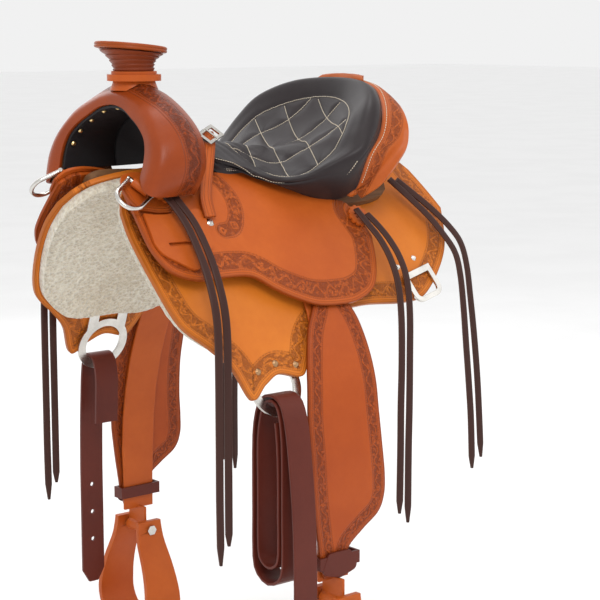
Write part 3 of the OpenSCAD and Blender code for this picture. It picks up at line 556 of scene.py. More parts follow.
def wood_finish():
    """Stained wood with grain stretched along the horse."""
    r = Recipe("tree_wood", 0.6)
    stretch = r.add("Mapping", Scale=(0.12, 1.0, 1.0), Vector=r.place)
    rings = r.noise(160.0, 5.0, 0.65, stretch.outputs[0])
    r.colour(r.mix(r.remap(rings, 0.35, 0.68), (0.20, 0.095, 0.040), (0.11, 0.048, 0.020)))
    r.bump(rings, 0.0006, 0.5)
    return r.mat


def metal_finish(name, bright, dull, rough):
    """Polished metal with faint scratches and dull patches in its tone."""
    r = Recipe(name, rough, metal=1.0)
    patch = r.remap(r.noise(45.0, 5.0, 0.65), 0.4, 0.7)
    r.colour(r.stain(bright, patch, 0.6, dull))
    r.bump(r.noise(900.0, 4.0, 0.7), 0.00008, 0.5)
    return r.mat


seat_leather, string_leather, woolskin = seat_finish(), string_finish(), wool_finish()
cream_thread, tree_wood = thread_finish(), wood_finish()
steel = metal_finish("stainless_steel", (0.66, 0.64, 0.60), (0.42, 0.40, 0.37), 0.22)
copper = metal_finish("rivet_copper", (0.42, 0.25, 0.13), (0.22, 0.12, 0.06), 0.35)
brass = metal_finish("tack_brass", (0.82, 0.60, 0.28), (0.50, 0.33, 0.12), 0.28)
print("all materials mixed")


def dress(piece, material, slot, *nodes, body="saddle", padded=None):
    """Gives a piece its finish and body, and hides the CAD nodes that it stands for."""
    piece.data.materials.clear()
    piece.data.materials.append(material)
    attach(piece, body)
    if nodes:
        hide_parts(*nodes)
    return piece


# %% [markdown]
# ## Saddle strings
# Twelve thin strips of latigo leather are knotted through rosettes and hang free. Each
# is a strip swept along the same route as in the model, with its flat side outwards.
# A strip's length is that of its route, from the slot to the cut tip.

# %% Saddle strings
STRING_W, STRING_T, STRING_STEPS = 11.0, 4.2, 64
ROUTES = {
    "front_{}_a": [
        (-214, -106, -28), (-208, -121, -43), (-202, -143, -68), (-200, -163, -95),
        (-202, -185, -123), (-204, -202, -152), (-205, -213, -180), (-205, -218, -215),
        (-205, -219, -270), (-205, -219, -330), (-205, -219, -390), (-205, -219, -450),
        (-204, -219, -530)],
    "front_{}_b": [
        (-204, -96, -19), (-194, -119, -43), (-187, -142, -68), (-185, -163, -95),
        (-187, -185, -123), (-189, -202, -152), (-190, -213, -180), (-190, -218, -215),
        (-190, -219, -270), (-190, -219, -330), (-190, -219, -390), (-190, -219, -450),
        (-190, -219, -505)],
    "seat_{}_a": [
        (131, -140, -79), (137, -157, -94), (143, -176, -114), (149, -193, -140), (153, -204, -172),
        (155, -209, -220), (155, -210, -290), (155, -210, -360), (154, -210, -430),
        (154, -210, -538)],
    "seat_{}_b": [
        (115, -134, -71), (120, -154, -91), (126, -174, -112), (131, -192, -140), (134, -205, -174),
        (136, -211, -222), (136, -213, -290), (135, -213, -360), (135, -213, -430),
        (134, -213, -520)],
    "rear_{}_a": [
        (238, -88, -38), (256, -110, -60), (274, -130, -82), (292, -150, -108), (306, -162, -134),
        (316, -166, -170), (325, -166, -220), (333, -166, -270), (341, -166, -330),
        (347, -166, -390), (354, -166, -478)],
    "rear_{}_b": [
        (222, -90, -36), (240, -114, -62), (258, -138, -90), (272, -158, -118), (284, -172, -146),
        (290, -178, -180), (296, -180, -230), (303, -180, -290), (310, -180, -350),
        (316, -180, -410), (320, -180, -488)],
}


def squared(v):
    """Bulges a circle's sine or cosine towards a square's: sign(v) |v|^0.55."""
    return np.sign(v) * np.abs(v) ** 0.55


def swept(centre, outwards, twist, scale, sides=12):
    """Points of a strip swept along centre, its flat side towards outwards and turned by
    twist. A section runs squared(cos a) of half the width times scale across, and
    squared(sin a) of half the thickness high."""
    t = unit(np.gradient(centre, axis=0))
    n = unit(outwards - (outwards * t).sum(1, keepdims=True) * t)
    w = np.cross(t, n)
    c, s = np.cos(twist)[:, None], np.sin(twist)[:, None]
    n, w = n * c + w * s, w * c - n * s
    a = np.arange(sides) / sides * 2 * math.pi + math.pi / sides
    across, high = squared(np.cos(a)), squared(np.sin(a))
    ring = (w[:, None] * across[None, :, None] * STRING_W / 2 * scale[:, None, None]
            + n[:, None] * high[None, :, None] * STRING_T / 2)
    return centre[:, None] + ring, across


def tube_piece(name, rings, attributes):
    """The closed skin of a stack of rings, with a cap at each end."""
    m, n = rings.shape[:2]
    i, j = np.meshgrid(np.arange(m - 1), np.arange(n), indexing="ij")
    a, b = (i * n + j).ravel(), (i * n + (j + 1) % n).ravel()
    faces = np.stack([a, a + n, b + n, b], 1).tolist()
    faces += [list(range(n)), [(m - 1) * n + k for k in range(n)][::-1]]
    return write_piece(name, rings.reshape(-1, 3), faces, attributes)


def outward(piece):
    """Turns every face of a closed skin outwards and leaves its points alone."""
    work = bmesh.new()
    work.from_mesh(piece.data)
    bmesh.ops.recalc_face_normals(work, faces=work.faces)
    work.to_mesh(piece.data)
    work.free()
    return piece


cord_total = 0.0
for key, route in ROUTES.items():
    for side, sign in (("near", 1.0), ("off", -1.0)):
        name = "string_" + key.format(side)
        centre = smooth(route, STRING_STEPS) * (1, sign, 1)
        outwards = np.tile((0.0, -1.0 * sign, 0.45), (len(centre), 1))
        u = np.linspace(0, 1, len(centre))
        twist = 0.28 * np.sin(2.2 * u + len(name)) * smoothstep(0.15, 0.6, u)
        tip = 1 - 0.62 * smoothstep(0.965, 1.0, u)
        rings, across = swept(centre, outwards, twist, tip)
        run = lengths(centre) * MM
        piece = outward(tube_piece(name + "_strip", rings, {
            "run": np.repeat(run, len(across)), "across": np.tile(across, len(run))}))
        dress(piece, string_leather, "string_brown", name)
        cord_total += run[-1]
print("twelve strings,", round(cord_total, 2), "m in all")

# %% [markdown]
# ## Skirts, jockeys and woolskins
# The big leathers are cut from flat patterns, so each is two outlines on the flank with
# a ruled grid between them. The distance from every point to the cut edge is stored on
# the mesh, and the stamped border reads it, so it turns every corner as real tooling does.

# %% Skirts, jockeys and woolskins
SKIRT_UPPER = [
    (-252, 78), (-240, 62), (-225, 50), (-200, 38), (-170, 28), (-140, 20), (-110, 14), (-70, 10),
    (-20, 10), (30, 10), (80, 10), (130, 11), (180, 12), (220, 18), (255, 28), (278, 44), (292, 70)]
SKIRT_LOWER = [
    (-264, 104), (-269, 150), (-261, 218), (-243, 278), (-206, 313), (-178, 342), (-156, 388),
    (-128, 370), (-100, 357), (-62, 364), (-46, 346), (-26, 312), (20, 284), (90, 276), (170, 284),
    (215, 276), (278, 220), (311, 150)]
WOOL_LOWER = [
    (-258, 104), (-262, 150), (-254, 216), (-236, 272), (-198, 306), (-172, 314), (-154, 314),
    (-128, 312), (-100, 310), (-60, 312), (-28, 306), (28, 278), (88, 269), (168, 277), (210, 269),
    (270, 216), (303, 148)]
JOCKEY_UPPER = [
    (-262, 85), (-245, 66), (-220, 62), (-190, 62), (-160, 60), (-125, 58), (-95, 52), (-63, 55),
    (-30, 52), (6, 76), (36, 94), (62, 106), (90, 114), (112, 122), (122, 140)]
JOCKEY_LOWER = [
    (-264, 150), (-261, 182), (-243, 212), (-205, 225), (-165, 222), (-125, 221), (-104, 226),
    (-80, 243), (-50, 259), (-15, 272), (25, 276), (62, 274), (97, 259), (118, 226), (132, 182)]
FRONT_UPPER = [
    (-266, 84), (-256, 64), (-236, 56), (-212, 56), (-190, 60), (-176, 66)]
FRONT_LOWER = [(-264, 104), (-256, 118), (-240, 122), (-222, 124), (-200, 120), (-176, 96)]
FORK_ARC = [(-97, 58), (-88, 80), (-86, 104), (-93, 128), (-109, 148), (-128, 152)]


def panel(name, upper, lower, h, t, nu, nv, arc_line=None):
    """A leather on the flank: its two sides are the ruled grid lifted to h and h + t.
    The distance to arc_line is stored as well, for a second stamped band along it."""
    up, low = smooth(upper, nu), smooth(lower, nu)
    grid = ruled(up, low, nv)
    cut = np.concatenate([up[:1], low, up[-1:]])
    values = tooling(*outline_distance(grid, cut))
    if arc_line:
        arc, arc_run = outline_distance(grid, smooth(arc_line, 40))
        values.update(arc=arc * MM, arc_run=arc_run * MM)
    x, s = np.moveaxis(grid, -1, 0)
    return shell(name, flank(x, s, h), flank(x, s, h + t), values)


def pair(piece, material, slot, edge, node):
    """Dresses the near piece and its mirrored twin for the off side."""
    twin = mirrored(piece, piece.name.replace("near", "off"))
    for side, thing in (("near", piece), ("off", twin)):
        dress(soften(thing, edge), material, slot, node.format(side))


pair(panel("skirt_near_leather", SKIRT_UPPER, SKIRT_LOWER, 0, SKIRT_T, 260, 80),
     skirt_leather, "tan", 1.6, "skirt_{}")
pair(panel("jockey_near_leather", JOCKEY_UPPER, JOCKEY_LOWER, JOCKEY_H, JOCKEY_T, 260, 70,
           FORK_ARC), jockey_leather, "russet", 1.3, "jockey_{}")
pair(panel("front_lobe_near", FRONT_UPPER, FRONT_LOWER, LEAF_H, LEAF_T, 90, 24),
     lined_leather, "russet", 1.2, "front_jockey_{}")


CURL_SEED, CURL_HEIGHT = 7, 1.6


def wool(name):
    """A woolskin: the pattern's grid with its under side roughened by curls. The height
    of the curls is a sum of sines whose directions come from a seeded draw."""
    upper = [(x + (4 if x < 0 else -4), s + 3) for x, s in SKIRT_UPPER]
    grid = ruled(smooth(upper, 220), smooth(WOOL_LOWER, 220), 80)
    draw = np.random.default_rng(CURL_SEED)
    curl = np.zeros(grid.shape[:2])
    for _ in range(14):
        k = draw.normal(0, 0.42, 2)
        curl += np.sin(grid @ k + draw.uniform(0, 6.28))
    curl *= CURL_HEIGHT / np.abs(curl).max()
    x, s = np.moveaxis(grid, -1, 0)
    return shell(name, flank(x, s, -FLEECE_T - GAP + curl), flank(x, s, -GAP))


pair(wool("fleece_near_wool"), woolskin, "wool", 3.0, "fleece_{}")
print("skirts, jockeys, front lobes and woolskins laid")

# %% [markdown]
# ## The fork
# The fork is the arch that carries the horn. Its leather is wetted, pulled over the wood
# and dried in place, so it is one smooth skin. The skin is a set of short curves, each
# running from the gullet's edge up the face, over the top and down the rear. Behind the
# lining a black sheet narrows down to the channel over the spine, under the seat's front:
# it is painted shade, which darkens the hollow seen through the gullet.

# %% The fork
FORK_FRONT = [
    (0, 108), (30, 104), (61, 94), (95, 78), (119, 57), (135, 36), (142, 12), (139, -14),
    (132, -32)]
FORK_MID = [
    (0, 119), (30, 115), (62, 103), (96, 86), (124, 66), (142, 42), (148, 12), (139, -14),
    (120, -34)]
FORK_REAR = [
    (0, 104), (28, 100), (56, 89), (86, 71), (110, 50), (122, 28), (122, 4), (112, -16), (96, -34)]
GULLET_ARCH = [
    (0, 86), (28, 82), (52, 71), (74, 59), (92, 44), (100, 28), (102, 12), (101, 0), (100, -8)]
FORK_LEATHER, LINING_T, GULLET_HALF, GULLET_TOP = 5.0, 4.0, 98.0, 82.0
ARCH_HALF, ARCH_TOP, LINING_ROOM = 102, 86, 4
ARCH_STEPS, SKIN_STEPS, LINING_BACK = 150, 48, -152
SHADE_SHEET_X, THROAT_X = -154.0, -124.0


def at_x(x, yz):
    """Points in space from [y, z] points, at one x or at an x for each."""
    return np.column_stack([np.broadcast_to(x, len(yz)), yz])


def face_x(z):
    """The raked face of the fork: x = -241 + 0.24 (z - 10)."""
    return -241 + 0.24 * (z - 10)


def full_arch(half):
    """A full arch of [y, z] points from the near foot over the crown to the off foot."""
    h = np.asarray(half, float)
    near = h[:0:-1] * (-1, 1)
    return smooth(np.concatenate([near, h]), ARCH_STEPS)


def gullet_line(grow):
    """The gullet's arch, scaled so that it keeps the lining's clearance plus grow."""
    g = np.asarray(GULLET_ARCH, float)
    rise = GULLET_TOP + LINING_ROOM + grow - ARCH_TOP
    return full_arch(np.stack([g[:, 0] * (GULLET_HALF + LINING_ROOM + grow) / ARCH_HALF,
                               g[:, 1] + rise * np.maximum(g[:, 1], 0) / ARCH_TOP], 1))


def fork_skin():
    """Grid of the fork's outer skin: six control curves joined by smooth ones."""
    e = gullet_line(1)
    f, m, r = (full_arch(half) for half in (FORK_FRONT, FORK_MID, FORK_REAR))
    fx = face_x(f[:, 1])
    rows = [
        at_x(face_x(e[:, 1]) - 2, e), at_x(fx - 4, e + 0.6 * (f - e)), at_x(fx + 8, f),
        at_x(-190.0, m), at_x(-158.0, m + 0.7 * (r - m)), at_x(-149.0, r * (0.95, 1) - (0, 4))]
    return np.swapaxes(smooth(np.stack(rows), SKIN_STEPS), 0, 1)


skin = fork_skin()
rear_rim = row_lengths(skin[:, ::-1])[:, ::-1]
rear_run = spread(skin[:, 40], skin.shape[1])
cover = shell("fork_cover_leather", skin + FORK_LEATHER * normals(skin), skin,
              tooling(rear_rim, rear_run))
dress(soften(cover, 1.4), fork_leather, "russet", "fork_cover")

inner, outer = gullet_line(-4), gullet_line(-4 + LINING_T)
mouth = (face_x(inner[:, 1]) + 3)[:, None]
lining_x = mouth + (LINING_BACK - mouth) * np.linspace(0, 1, 24)[None, :]
lining = shell("gullet_lining_leather", *(
    np.stack([lining_x, wall[:, :1] + 0 * lining_x, wall[:, 1:] + 0 * lining_x], -1)
    for wall in (inner, outer)))
dress(soften(lining, 1.0), black_leather, "black_leather", "gullet_lining")

# A black sheet behind the lining, as painted shade in the hollow under the seat's front.
shade_sheet_front = ruled(at_x(SHADE_SHEET_X, inner), at_x(THROAT_X, inner * (0.5, 0.3)), 16)
shade_sheet = outward(shell("gullet_shade_sheet", shade_sheet_front, shade_sheet_front + (3, 0, 0)))
dress(shade_sheet, black_leather, "black_leather")
print("fork skin grid", skin.shape[:2])

# %% [markdown]
# ## The horn
# A roper winds rope on the horn, so it has a broad leather cap and a neck wound with a
# dark strip. Both are profiles carried round an axis. The strip's turns are a saw-tooth
# added to the neck's radius: it rises with height and falls back once a turn.

# %% The horn
HORN_X, CAP_Z, CAP_T, CAP_TILT, CAP_R = 184.0, 161.0, 9.0, math.radians(6), 51
HORN_LEAN, CAP_SIDES, WRAP_SIDES = 5, 96, 120
NECK_FOOT, NECK_TOP, WRAP_PITCH, WRAP_RISE = 133, 159.6, 5.6, 1.7


def tilted(points):
    """Turns points about the cap's centre by the cap's tilt."""
    x, y, z = np.moveaxis(points, -1, 0)
    return np.stack([x * math.cos(CAP_TILT) + z * math.sin(CAP_TILT) - HORN_X - HORN_LEAN, y,
                     z * math.cos(CAP_TILT) - x * math.sin(CAP_TILT) + CAP_Z + CAP_T / 2], -1)


def spun(profile, sides):
    """Rings of (r cos a, r sin a, z), one for each point (r, z) of a profile."""
    a = np.arange(sides) / sides * 2 * math.pi
    r, z = np.asarray(profile, float).T
    return np.stack([r[:, None] * np.cos(a), r[:, None] * np.sin(a), z[:, None] + 0 * a], -1)


CAP_PROFILE = [
    (0.4, -4.5), (38, -4.5), (48.6, -4.3), (50.6, -3.6), (51, -2.6), (51, -1.0), (50.3, -0.4),
    (50.3, 0.0), (51, 0.6), (51, 2.4), (50.2, 3.6), (48.4, 4.2), (44, 4.5), (30, 4.9),
    (14, 5.1), (0.4, 5.1)]
cap_rim = np.repeat(np.abs([CAP_R - r for r, _ in CAP_PROFILE]), CAP_SIDES)
cap = outward(tube_piece("horn_cap_leather", tilted(spun(CAP_PROFILE, CAP_SIDES)),
                         tooling(cap_rim, 0 * cap_rim)))
dress(cap, lined_leather, "russet", "horn_cap")

height = np.linspace(NECK_FOOT, NECK_TOP, 64)
neck = np.interp(height, [NECK_FOOT, 139, 146, 152, 156, NECK_TOP], [28.5, 29, 31.5, 36, 41, 45.5])
neck = np.convolve(np.pad(neck, 5, "edge"), np.ones(11) / 11, "valid")
height = height[:, None]
angle = np.arange(WRAP_SIDES) / WRAP_SIDES * 2 * math.pi
turns = (height - NECK_FOOT) / WRAP_PITCH - angle[None, :] / (2 * math.pi)
saw = turns % 1.0
ridge = WRAP_RISE * smoothstep(0.0, 0.85, saw) * (1 - smoothstep(0.9, 1.0, saw))
radius = neck[:, None] + ridge - 0.8
lean = np.minimum(1, (height - NECK_FOOT) / 23)
rings = np.stack([-HORN_X - HORN_LEAN * lean + radius * np.cos(angle), radius * np.sin(angle),
                  height - radius * np.cos(angle) * math.sin(CAP_TILT) * lean], -1)
wrap = outward(tube_piece("horn_wrap_strip", rings, {}))
dress(wrap, wrap_leather, "burgundy", "horn_wrap")
print("horn cap and", round(float(turns.max()), 1), "turns of strip")

# %% [markdown]
# ## The seat
# The seat is a closed ring of rows that run from the well, up over the crest and down to
# the stitched edge. It is quilted: the foam puffs between lines of stitches, so its skin
# rises by 1 - exp(-d / 6) of the full puff at the distance d from the nearest line.

# %% The seat
CANTLE_Z, SEAT_X, SEAT_REACH, SEAT_HALF, CUSHION_T = 112.0, 90.0, 98.0, 155.0, 6.0
CREST_FALL = np.array([0, -1, -3, -8, -16, -28, -46, -72, -94], float)
WELL_X, WELL_Z = 55, 14
OVAL_X, OVAL_A, OVAL_B, PUFF, PUFF_WIDTH = 72.0, 101.0, 122.0, 4.2, 6
QUILT_SKEW, CROSS_FIRST, CROSS_STEP, LONG_FIRST, LONG_STEP = 0.5, 64, 49, 40, 75
AROUND, OUTWARDS = 288, 84


def crest_z(angle):
    """Height of the cantle's crest at an angle from its middle, in degrees."""
    return CANTLE_Z + along(CREST_FALL[:, None], np.minimum(1, np.atleast_1d(angle) / 90))[:, 0]


def crest(angle):
    """A point of the crest: an ellipse in plan, at the crest's height."""
    a = math.radians(angle)
    return [SEAT_X + SEAT_REACH * math.cos(a), -SEAT_HALF * math.sin(a), float(crest_z(angle)[0])]


def on_flank(x, s, rise=2):
    """A point that lies rise above the height of the upper leathers on the flank."""
    return flank(x, s, LEAF_H + rise).tolist()


CREST_LINE = [crest(a) for a in range(0, 91, 15)] + [
    [58, -146, -4], [30, -126, -20], [0, -104, -24], [-30, -84, -16], [-60, -70, -2],
    [-95, -62, 10], [-122, -52, 22], [-134, -24, 36], [-136, 0, 40]]
SEAT_EDGE = [
    [203, 0, 112], [200, -48, 111], [190, -90, 103], [177, -118, 86], [160, -140, 64],
    [141, -153, 38], [112, -160, 10], [118, -128, -38], on_flank(96, 112), on_flank(60, 104),
    on_flank(30, 88), on_flank(2, 71), on_flank(-26, 53), on_flank(-62, 54),
    on_flank(-88, 46, 3), [-138, -28, 30]]


def both_sides(half):
    """A near half line with its mirror, from the off end over the middle to the near end."""
    h = np.asarray(half, float)
    return np.concatenate([h[:0:-1] * (1, -1, 1), h])


def seat_rows(drop):
    """Nine control points from the well to the edge, for each step around the seat."""
    c = smooth(both_sides(CREST_LINE), AROUND)[:-1]
    e = smooth(both_sides(SEAT_EDGE), AROUND)[:-1]
    steep = 1 + 1.3 * np.maximum(0, (c[:, 0] - 40) / 150)
    rows = []
    for r in (0.04, 0.2, 0.4, 0.58, 0.74, 0.88, 1.0):
        rows.append(np.stack([WELL_X + (c[:, 0] - WELL_X) * r, c[:, 1] * r,
                              WELL_Z + (c[:, 2] - WELL_Z) * r**steep - drop], 1))
    rows.append((c + e) / 2 + np.stack([0 * c[:, 0], 0.05 * c[:, 1], 0 * c[:, 0] + 1 - drop], 1))
    rows.append(e - (0, 0, drop))
    return np.stack(rows)


def seat_face(drop):
    """The seat's skin: smooth curves through those nine points."""
    return np.swapaxes(smooth(seat_rows(drop), OUTWARDS), 0, 1)


def line_gap(value, first, step):
    """Distance from value to the nearest of first, first + step, first + 2 step and so on."""
    return np.abs((value - first + step / 2) % step - step / 2)


def quilt(x, y):
    """Distance from a place in plan to the nearest line of stitches, and how far inside
    the oval it lies. The two families of lines cross at right angles."""
    inside = (1 - np.sqrt(((x - OVAL_X) / OVAL_A) ** 2 + (y / OVAL_B) ** 2)) * 110
    slant = math.sqrt(1 + QUILT_SKEW**2)
    a = line_gap(x - QUILT_SKEW * y, CROSS_FIRST, CROSS_STEP) / slant
    b = line_gap(y + QUILT_SKEW * x, LONG_FIRST, LONG_STEP) / slant
    return np.where(inside > 0, np.minimum(np.minimum(a, b), inside), -inside), inside


top_face, low_face = seat_face(0), seat_face(CUSHION_T)
up = facing(top_face, (0, 0, 1))
px, py = top_face[..., 0], top_face[..., 1]
gap, _ = quilt(px, py)
share = np.linspace(0, 1, OUTWARDS + 1)[None, :]
fade = 1 - smoothstep(0.80, 0.97, share)
wrinkle = np.sin(0.16 * py + 0.30 * px + 1.2 * np.sin(0.05 * py))
crease = np.exp(-((px + 25) / 36) ** 2) * wrinkle
swell = PUFF * (1 - np.exp(-gap / PUFF_WIDTH)) * fade + 0.9 * crease * fade - 1.2 * fade
corners = [np.round(pick(top_face.reshape(-1, 3), axis=0)) for pick in (np.min, np.max)]
print("seat lies from", corners[0], "to", corners[1])
puffed = top_face + up * swell[..., None]
edge_round = smoothstep(0.965, 1.0, share)[..., None]
puffed -= up * 1.6 * edge_round**2
seat = outward(shell("seat_cushion_leather", puffed, low_face, closed=True))
dress(seat, seat_leather, "black_leather", "seat_cushion", padded=0.6)
seat_skin = BVHTree.FromPolygons([tuple(p) for p in puffed.reshape(-1, 3)], [
    tuple(f) for f in shell_faces(AROUND, OUTWARDS + 1, True)[:AROUND * OUTWARDS]])

# %% [markdown]
# ## The cantle
# The cantle's roll starts at the seat's seam, rises to its outer edge and turns down
# behind. Its grid is the smooth curve through four points, once for each step round.

# %% The cantle
ROLL_EDGE = [
    [210, 0, 115], [208, -44, 112], [205, -86, 103], [198, -126, 86], [186, -156, 60],
    [177, -165, 32], [164, -163, 12], [142, -148, -24], [122, -124, -46]]
ROLL_SEAM = [
    [204, 0, 113], [201.5, -48, 112], [191.5, -91, 104], [178.5, -119.5, 87], [162, -141.5, 64],
    [143.5, -154.5, 37], [116, -161.5, 9], [121, -131, -39], [114, -116, -50]]
ROLL_T, ROLL_STEPS, WALL_HALF_ANGLE = 7.0, 220, 60
seam, brim = (smooth(both_sides(half), ROLL_STEPS) for half in (ROLL_SEAM, ROLL_EDGE))
away = unit(np.stack([brim[:, 0] - SEAT_X, brim[:, 1], 0 * brim[:, 0]], 1))
tucked = seam - 2.2 * away - (0, 0, 1.2)
shaped = np.stack([tucked, seam + 0.55 * (brim - seam) + 2 * away + (0, 0, 1), brim,
                   brim + 9 * away - (0, 0, 9)])
roll_face = np.swapaxes(smooth(shaped, 30), 0, 1)
roll_out = facing(roll_face, away[:, None])
roll_run = spread(brim, roll_face.shape[1])
roll = outward(shell("cantle_roll_leather", roll_face, roll_face - ROLL_T * roll_out,
                     tooling(row_lengths(roll_face), roll_run)))
dress(soften(roll, 1.2), roll_leather, "russet", "cantle_roll")


def cantle_wall(r, top_drop):
    """The wall behind the seat: each row falls straight from top_drop under the crest,
    r outside it, to the flank. Its foot moves forward with the square of the angle."""
    degrees = np.linspace(-WALL_HALF_ANGLE, WALL_HALF_ANGLE, 121)
    a, share = np.radians(degrees), np.abs(degrees) / WALL_HALF_ANGLE
    top = np.stack([SEAT_X + (SEAT_REACH + r) * np.cos(a), -(SEAT_HALF + r) * np.sin(a),
                    crest_z(np.abs(degrees)) - top_drop], 1)
    foot = flank(184 + 0.4 * r - 42 * share**2, 8 + 92 * share, JOCKEY_H)
    foot[:, 1] *= np.where(a < 0, -1, 1)
    return ruled(top, foot, 24)


outer_wall, inner_wall = cantle_wall(8, 14), cantle_wall(4, 16)
wall_rim = np.linalg.norm(outer_wall - outer_wall[:, -1:], axis=2)
wall_run = spread(outer_wall[:, 0], outer_wall.shape[1])
wall = outward(shell("cantle_back_leather", outer_wall, inner_wall,
                     tooling(wall_rim, wall_run)))
dress(soften(wall, 1.0), lined_leather, "russet", "cantle_back")
print("roll is", round(float(lengths(brim)[-1])), "mm round its edge")

# %% [markdown]
# ## Thread
# The seat and the roll are sewn with cream waxed thread. A stitch is a tiny capsule that
# comes down to the leather at both ends, and a seam is a row of them along a line.

# %% Thread
def sewn(name, seams, pitch, fill, radius):
    """Rows of stitches. A seam is a line of points with the surface's normal at each.
    A stitch spans fill of the pitch and bows up by 0.25 + 0.35 sin(pi t) mm."""
    points, faces, sides = [], [], 6
    t = np.linspace(0, 1, 5)
    girth = np.array([0.45, 0.95, 1.0, 0.95, 0.45]) * radius
    a = np.arange(sides) / sides * 2 * math.pi
    for line, normal in seams:
        far = lengths(line)
        for start in np.arange(0.5, far[-1] - pitch, pitch):
            s = start + t * pitch * fill
            p = np.stack([np.interp(s, far, line[:, k]) for k in range(3)], 1)
            n = unit(np.stack([np.interp(s, far, normal[:, k]) for k in range(3)], 1))
            p = p + n * (0.25 + 0.35 * np.sin(math.pi * t))[:, None]
            side = np.cross(n, unit(np.gradient(p, axis=0)))
            ring = p[:, None] + girth[:, None, None] * (np.cos(a)[None, :, None] * side[:, None]
                                                        + np.sin(a)[None, :, None] * n[:, None])
            base = len(points)
            points.extend(ring.reshape(-1, 3).tolist())
            for i in range(len(t) - 1):
                for j in range(sides):
                    q, w = base + i * sides + j, base + i * sides + (j + 1) % sides
                    faces.append((q, q + sides, w + sides, w))
            faces.append(tuple(range(base, base + sides)))
            faces.append(tuple(base + (len(t) - 1) * sides + j for j in range(sides))[::-1])
    piece = outward(write_piece(name, points, faces))
    print(name, len(points) // (len(t) * sides), "stitches")
    return dress(piece, cream_thread, "string_brown")


def beside_edge(face, normal, distance, rows, last=True):
    """The line on a grid at a distance in from its last column, or from its first."""
    g, n = (face[:, ::-1], normal[:, ::-1]) if last else (face, normal)
    far = row_lengths(g)
    line, side = (np.array([[np.interp(distance, far[i], v[i, :, k]) for k in range(3)]
                            for i in rows]) for v in (g, n))
    return line, unit(side)


def dropped(xy):
    """Plan points let fall on the seat's skin: the places met and the normals there."""
    places, sides = [], []
    for x, y in xy:
        hit, normal, _, _ = seat_skin.ray_cast((float(x), float(y), 400.0), (0, 0, -1))
        if hit is not None:
            places.append(tuple(hit))
            sides.append(tuple(normal if normal.z > 0 else -normal))
    return np.array(places), np.array(sides)


STITCH_STEP = 1.5
oval = np.radians(np.arange(0, 361, STITCH_STEP))
seams = [dropped(np.stack([OVAL_X + OVAL_A * np.cos(oval), OVAL_B * np.sin(oval)], 1))]
reach = np.arange(-170, 171, STITCH_STEP)
for k in range(-4, 5):
    crosswise = np.stack([CROSS_FIRST + CROSS_STEP * k + QUILT_SKEW * reach, reach], 1)
    lengthwise = np.stack([reach + OVAL_X,
                           LONG_FIRST + LONG_STEP * k - QUILT_SKEW * (reach + OVAL_X)], 1)
    for line in (crosswise, lengthwise):
        kept = line[quilt(line[:, 0], line[:, 1])[1] > 0.3]
        if len(kept) > 6:
            seams.append(dropped(kept))
sewn("seat_quilting_thread", seams, 3.6, 0.86, 0.60)

edge_rows = np.arange(AROUND)
puffed_up = facing(puffed, (0, 0, 1))
edge_line, _ = beside_edge(puffed, puffed_up, 4.0, edge_rows)
low_part = edge_line[:, 2] < 0
near_rows = edge_rows[low_part & (edge_rows >= AROUND / 2)]
off_rows = edge_rows[low_part & (edge_rows < AROUND / 2)]
edge_seams, front_seams = [], []
for rows in (near_rows, off_rows):
    edge_x = puffed[rows, -1, 0]
    column = OUTWARDS * (0.765 + 0.09 * smoothstep(20, 110, edge_x))
    j = np.floor(column).astype(int)
    part = (column - j)[:, None]
    edge_seams.append([g[rows, j] * (1 - part) + g[rows, j + 1] * part
                       for g in (puffed, puffed_up)])
    front_seams.append(rows[np.abs(edge_x + 74) < 42])
front_seams = [beside_edge(puffed, puffed_up, d, rows) for d in (4.0, 9.0) for rows in front_seams]
sewn("seat_edge_thread", edge_seams + front_seams, 3.8, 0.78, 0.70)
sewn("roll_seam_thread", [beside_edge(roll_face, roll_out, 6.5, np.arange(14, 207), last=False)],
     4.4, 0.72, 0.66)

# %% [markdown]
# ## Fenders and the rope strap
# The fenders hang over the stirrup leathers and keep the rider's leg off the sweat.
# Their pattern is a list of rows: height, distance out, and the front and rear edges.

# %% Fenders and the rope strap
FENDER_ROWS = [
    (-188, 185.4, -12, 44), (-200, 193.2, -20, 50), (-224, 205, -37, 58), (-263, 221, -52, 63),
    (-304, 233, -61, 65), (-347, 241, -67, 64), (-400, 247, -67, 66), (-440, 249, -66, 69),
    (-470, 249, -63, 68), (-494, 249, -60, 57), (-514, 249, -57, 28), (-534, 249, -54, 2),
    (-554, 249, -51, -4), (-575, 249, -44, -10)]
FENDER_T, FENDER_ACROSS = 5.0, 44


def fender(name):
    """The near fender: a ruled grid between its front and rear edges, FENDER_T thick,
    whose outer side turns down a little towards the cut edge."""
    z, out, front, rear = smooth(FENDER_ROWS, 260).T
    grid = ruled(np.stack([front, -out, z], 1), np.stack([rear, -out, z], 1), FENDER_ACROSS)
    down = spread(np.stack([out, z], 1), FENDER_ACROSS + 1)
    flat = np.stack([grid[..., 0], down], -1)
    cut = np.concatenate([flat[:, 0], flat[-1], flat[::-1, -1]])
    rim, run = outline_distance(flat, cut)
    outwards = facing(grid, (0, -1, 0))
    roll_over = 0.8 * (1 - smoothstep(0, 5, rim))[..., None]
    return outward(shell(name, grid + outwards * (FENDER_T / 2 - roll_over),
                         grid - outwards * FENDER_T / 2, tooling(rim, run)))


near_fender = fender("fender_near_leather")
off_fender = mirrored(near_fender, "fender_off_leather")
for body, thing in (("fender_near", near_fender), ("fender_off", off_fender)):
    dress(soften(thing, 1.2), fender_leather, "russet", body, body=body)

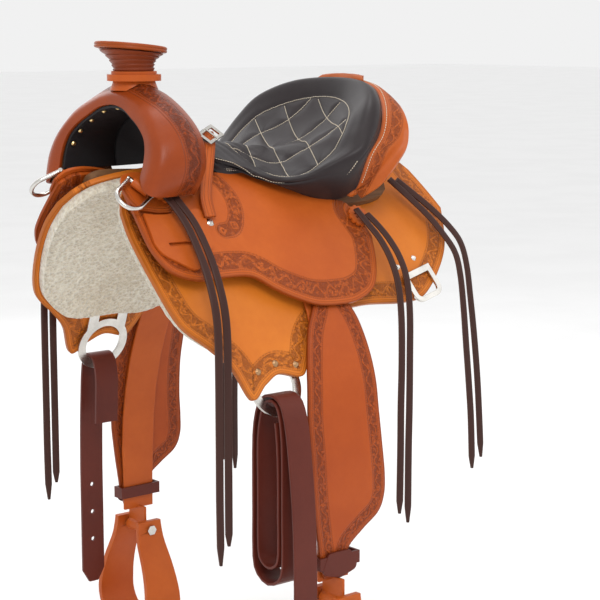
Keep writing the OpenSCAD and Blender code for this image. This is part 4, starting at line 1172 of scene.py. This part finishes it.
ROPE_LINE = [
    (-82, 0, 53), (-90, 20, 51), (-105, 46, 45), (-122, 75, LEAF_H + 9), (-138, 104, LEAF_H + 6),
    (-146, 134, LEAF_H + 5)]
ROPE_W, ROPE_ACROSS = 20.0, 21
rope_line = smooth(ROPE_LINE, 80)
rope_x, rope_s, rope_h = (v[:, None] for v in rope_line.T)
across = np.linspace(-1, 1, ROPE_ACROSS)[None, :] * ROPE_W / 2
strap_rim = np.repeat(ROPE_W / 2 - np.abs(across), len(rope_line), 0)
strap_run = spread(rope_line, ROPE_ACROSS)
strap = outward(shell("rope_strap_leather", *(
    flank(rope_x + across, rope_s, rope_h + lift) for lift in (LEAF_T, 0)),
    tooling(strap_rim, strap_run)))
dress(soften(strap, 0.9), lined_leather, "russet", "rope_strap")
print("fenders and rope strap hung")

# %% [markdown]
# ## Finishing the parts that stay as packed
# The remaining parts are shown as they are: wood, straps, stirrups and fittings. A weld
# closes their seams, a fine bevel rounds their edges, and each takes its finish.

# %% Finishing the parts that stay as packed
FINISH = {"wood": tree_wood, "steel": steel, "copper": copper, "burgundy": latigo_leather,
          "black_leather": black_leather, "russet": plain_leather, "tan": plain_leather,
          "string_brown": string_leather, "wool": woolskin}
EDGE_MM = {"wood": 2.0, "steel": 0.5, "copper": 0.5, "burgundy": 1.0, "russet": 1.2}
slots = {part["node"]: part["material_slot"] for part in frame["record"]["subparts"]}
for name, node in frame["nodes"].items():
    slot = slots[name]
    finish = brass if name == "gullet_tacks" else FINISH[slot]
    node.data.materials.clear()
    node.data.materials.append(finish)
    node.data.polygons.foreach_set("use_smooth", np.ones(len(node.data.polygons), bool))
    weld = node.modifiers.new("weld", "WELD")
    weld.merge_threshold = 1e-5
    soften(node, EDGE_MM.get(slot, 0.8))
    even = node.modifiers.new("even", "WEIGHTED_NORMAL")
    even.keep_sharp = True
print("finished", len(frame["nodes"]), "parts from the model")

# %% [markdown]
# ## The floor and its finish
# A plain pale floor catches the stirrups' soft shadow.

# %% The floor and its finish
FLOOR_Z, FLOOR_HALF = -0.775, 30
floor_mesh = bpy.data.meshes.new("floor")
floor_mesh.from_pydata([(x * FLOOR_HALF, y * FLOOR_HALF, FLOOR_Z) for x, y in (
    (-1, -1), (1, -1), (1, 1), (-1, 1))], [], [(0, 1, 2, 3)])
floor = bpy.data.objects.new("floor", floor_mesh)
bpy.context.scene.collection.objects.link(floor)
paint = Recipe("pale_floor", 0.8)
patches = paint.remap(paint.noise(3.0), 0.4, 0.6)
paint.colour(paint.mix(patches, (0.94, 0.94, 0.94), (0.96, 0.96, 0.96)))
floor_mesh.materials.append(paint.mat)
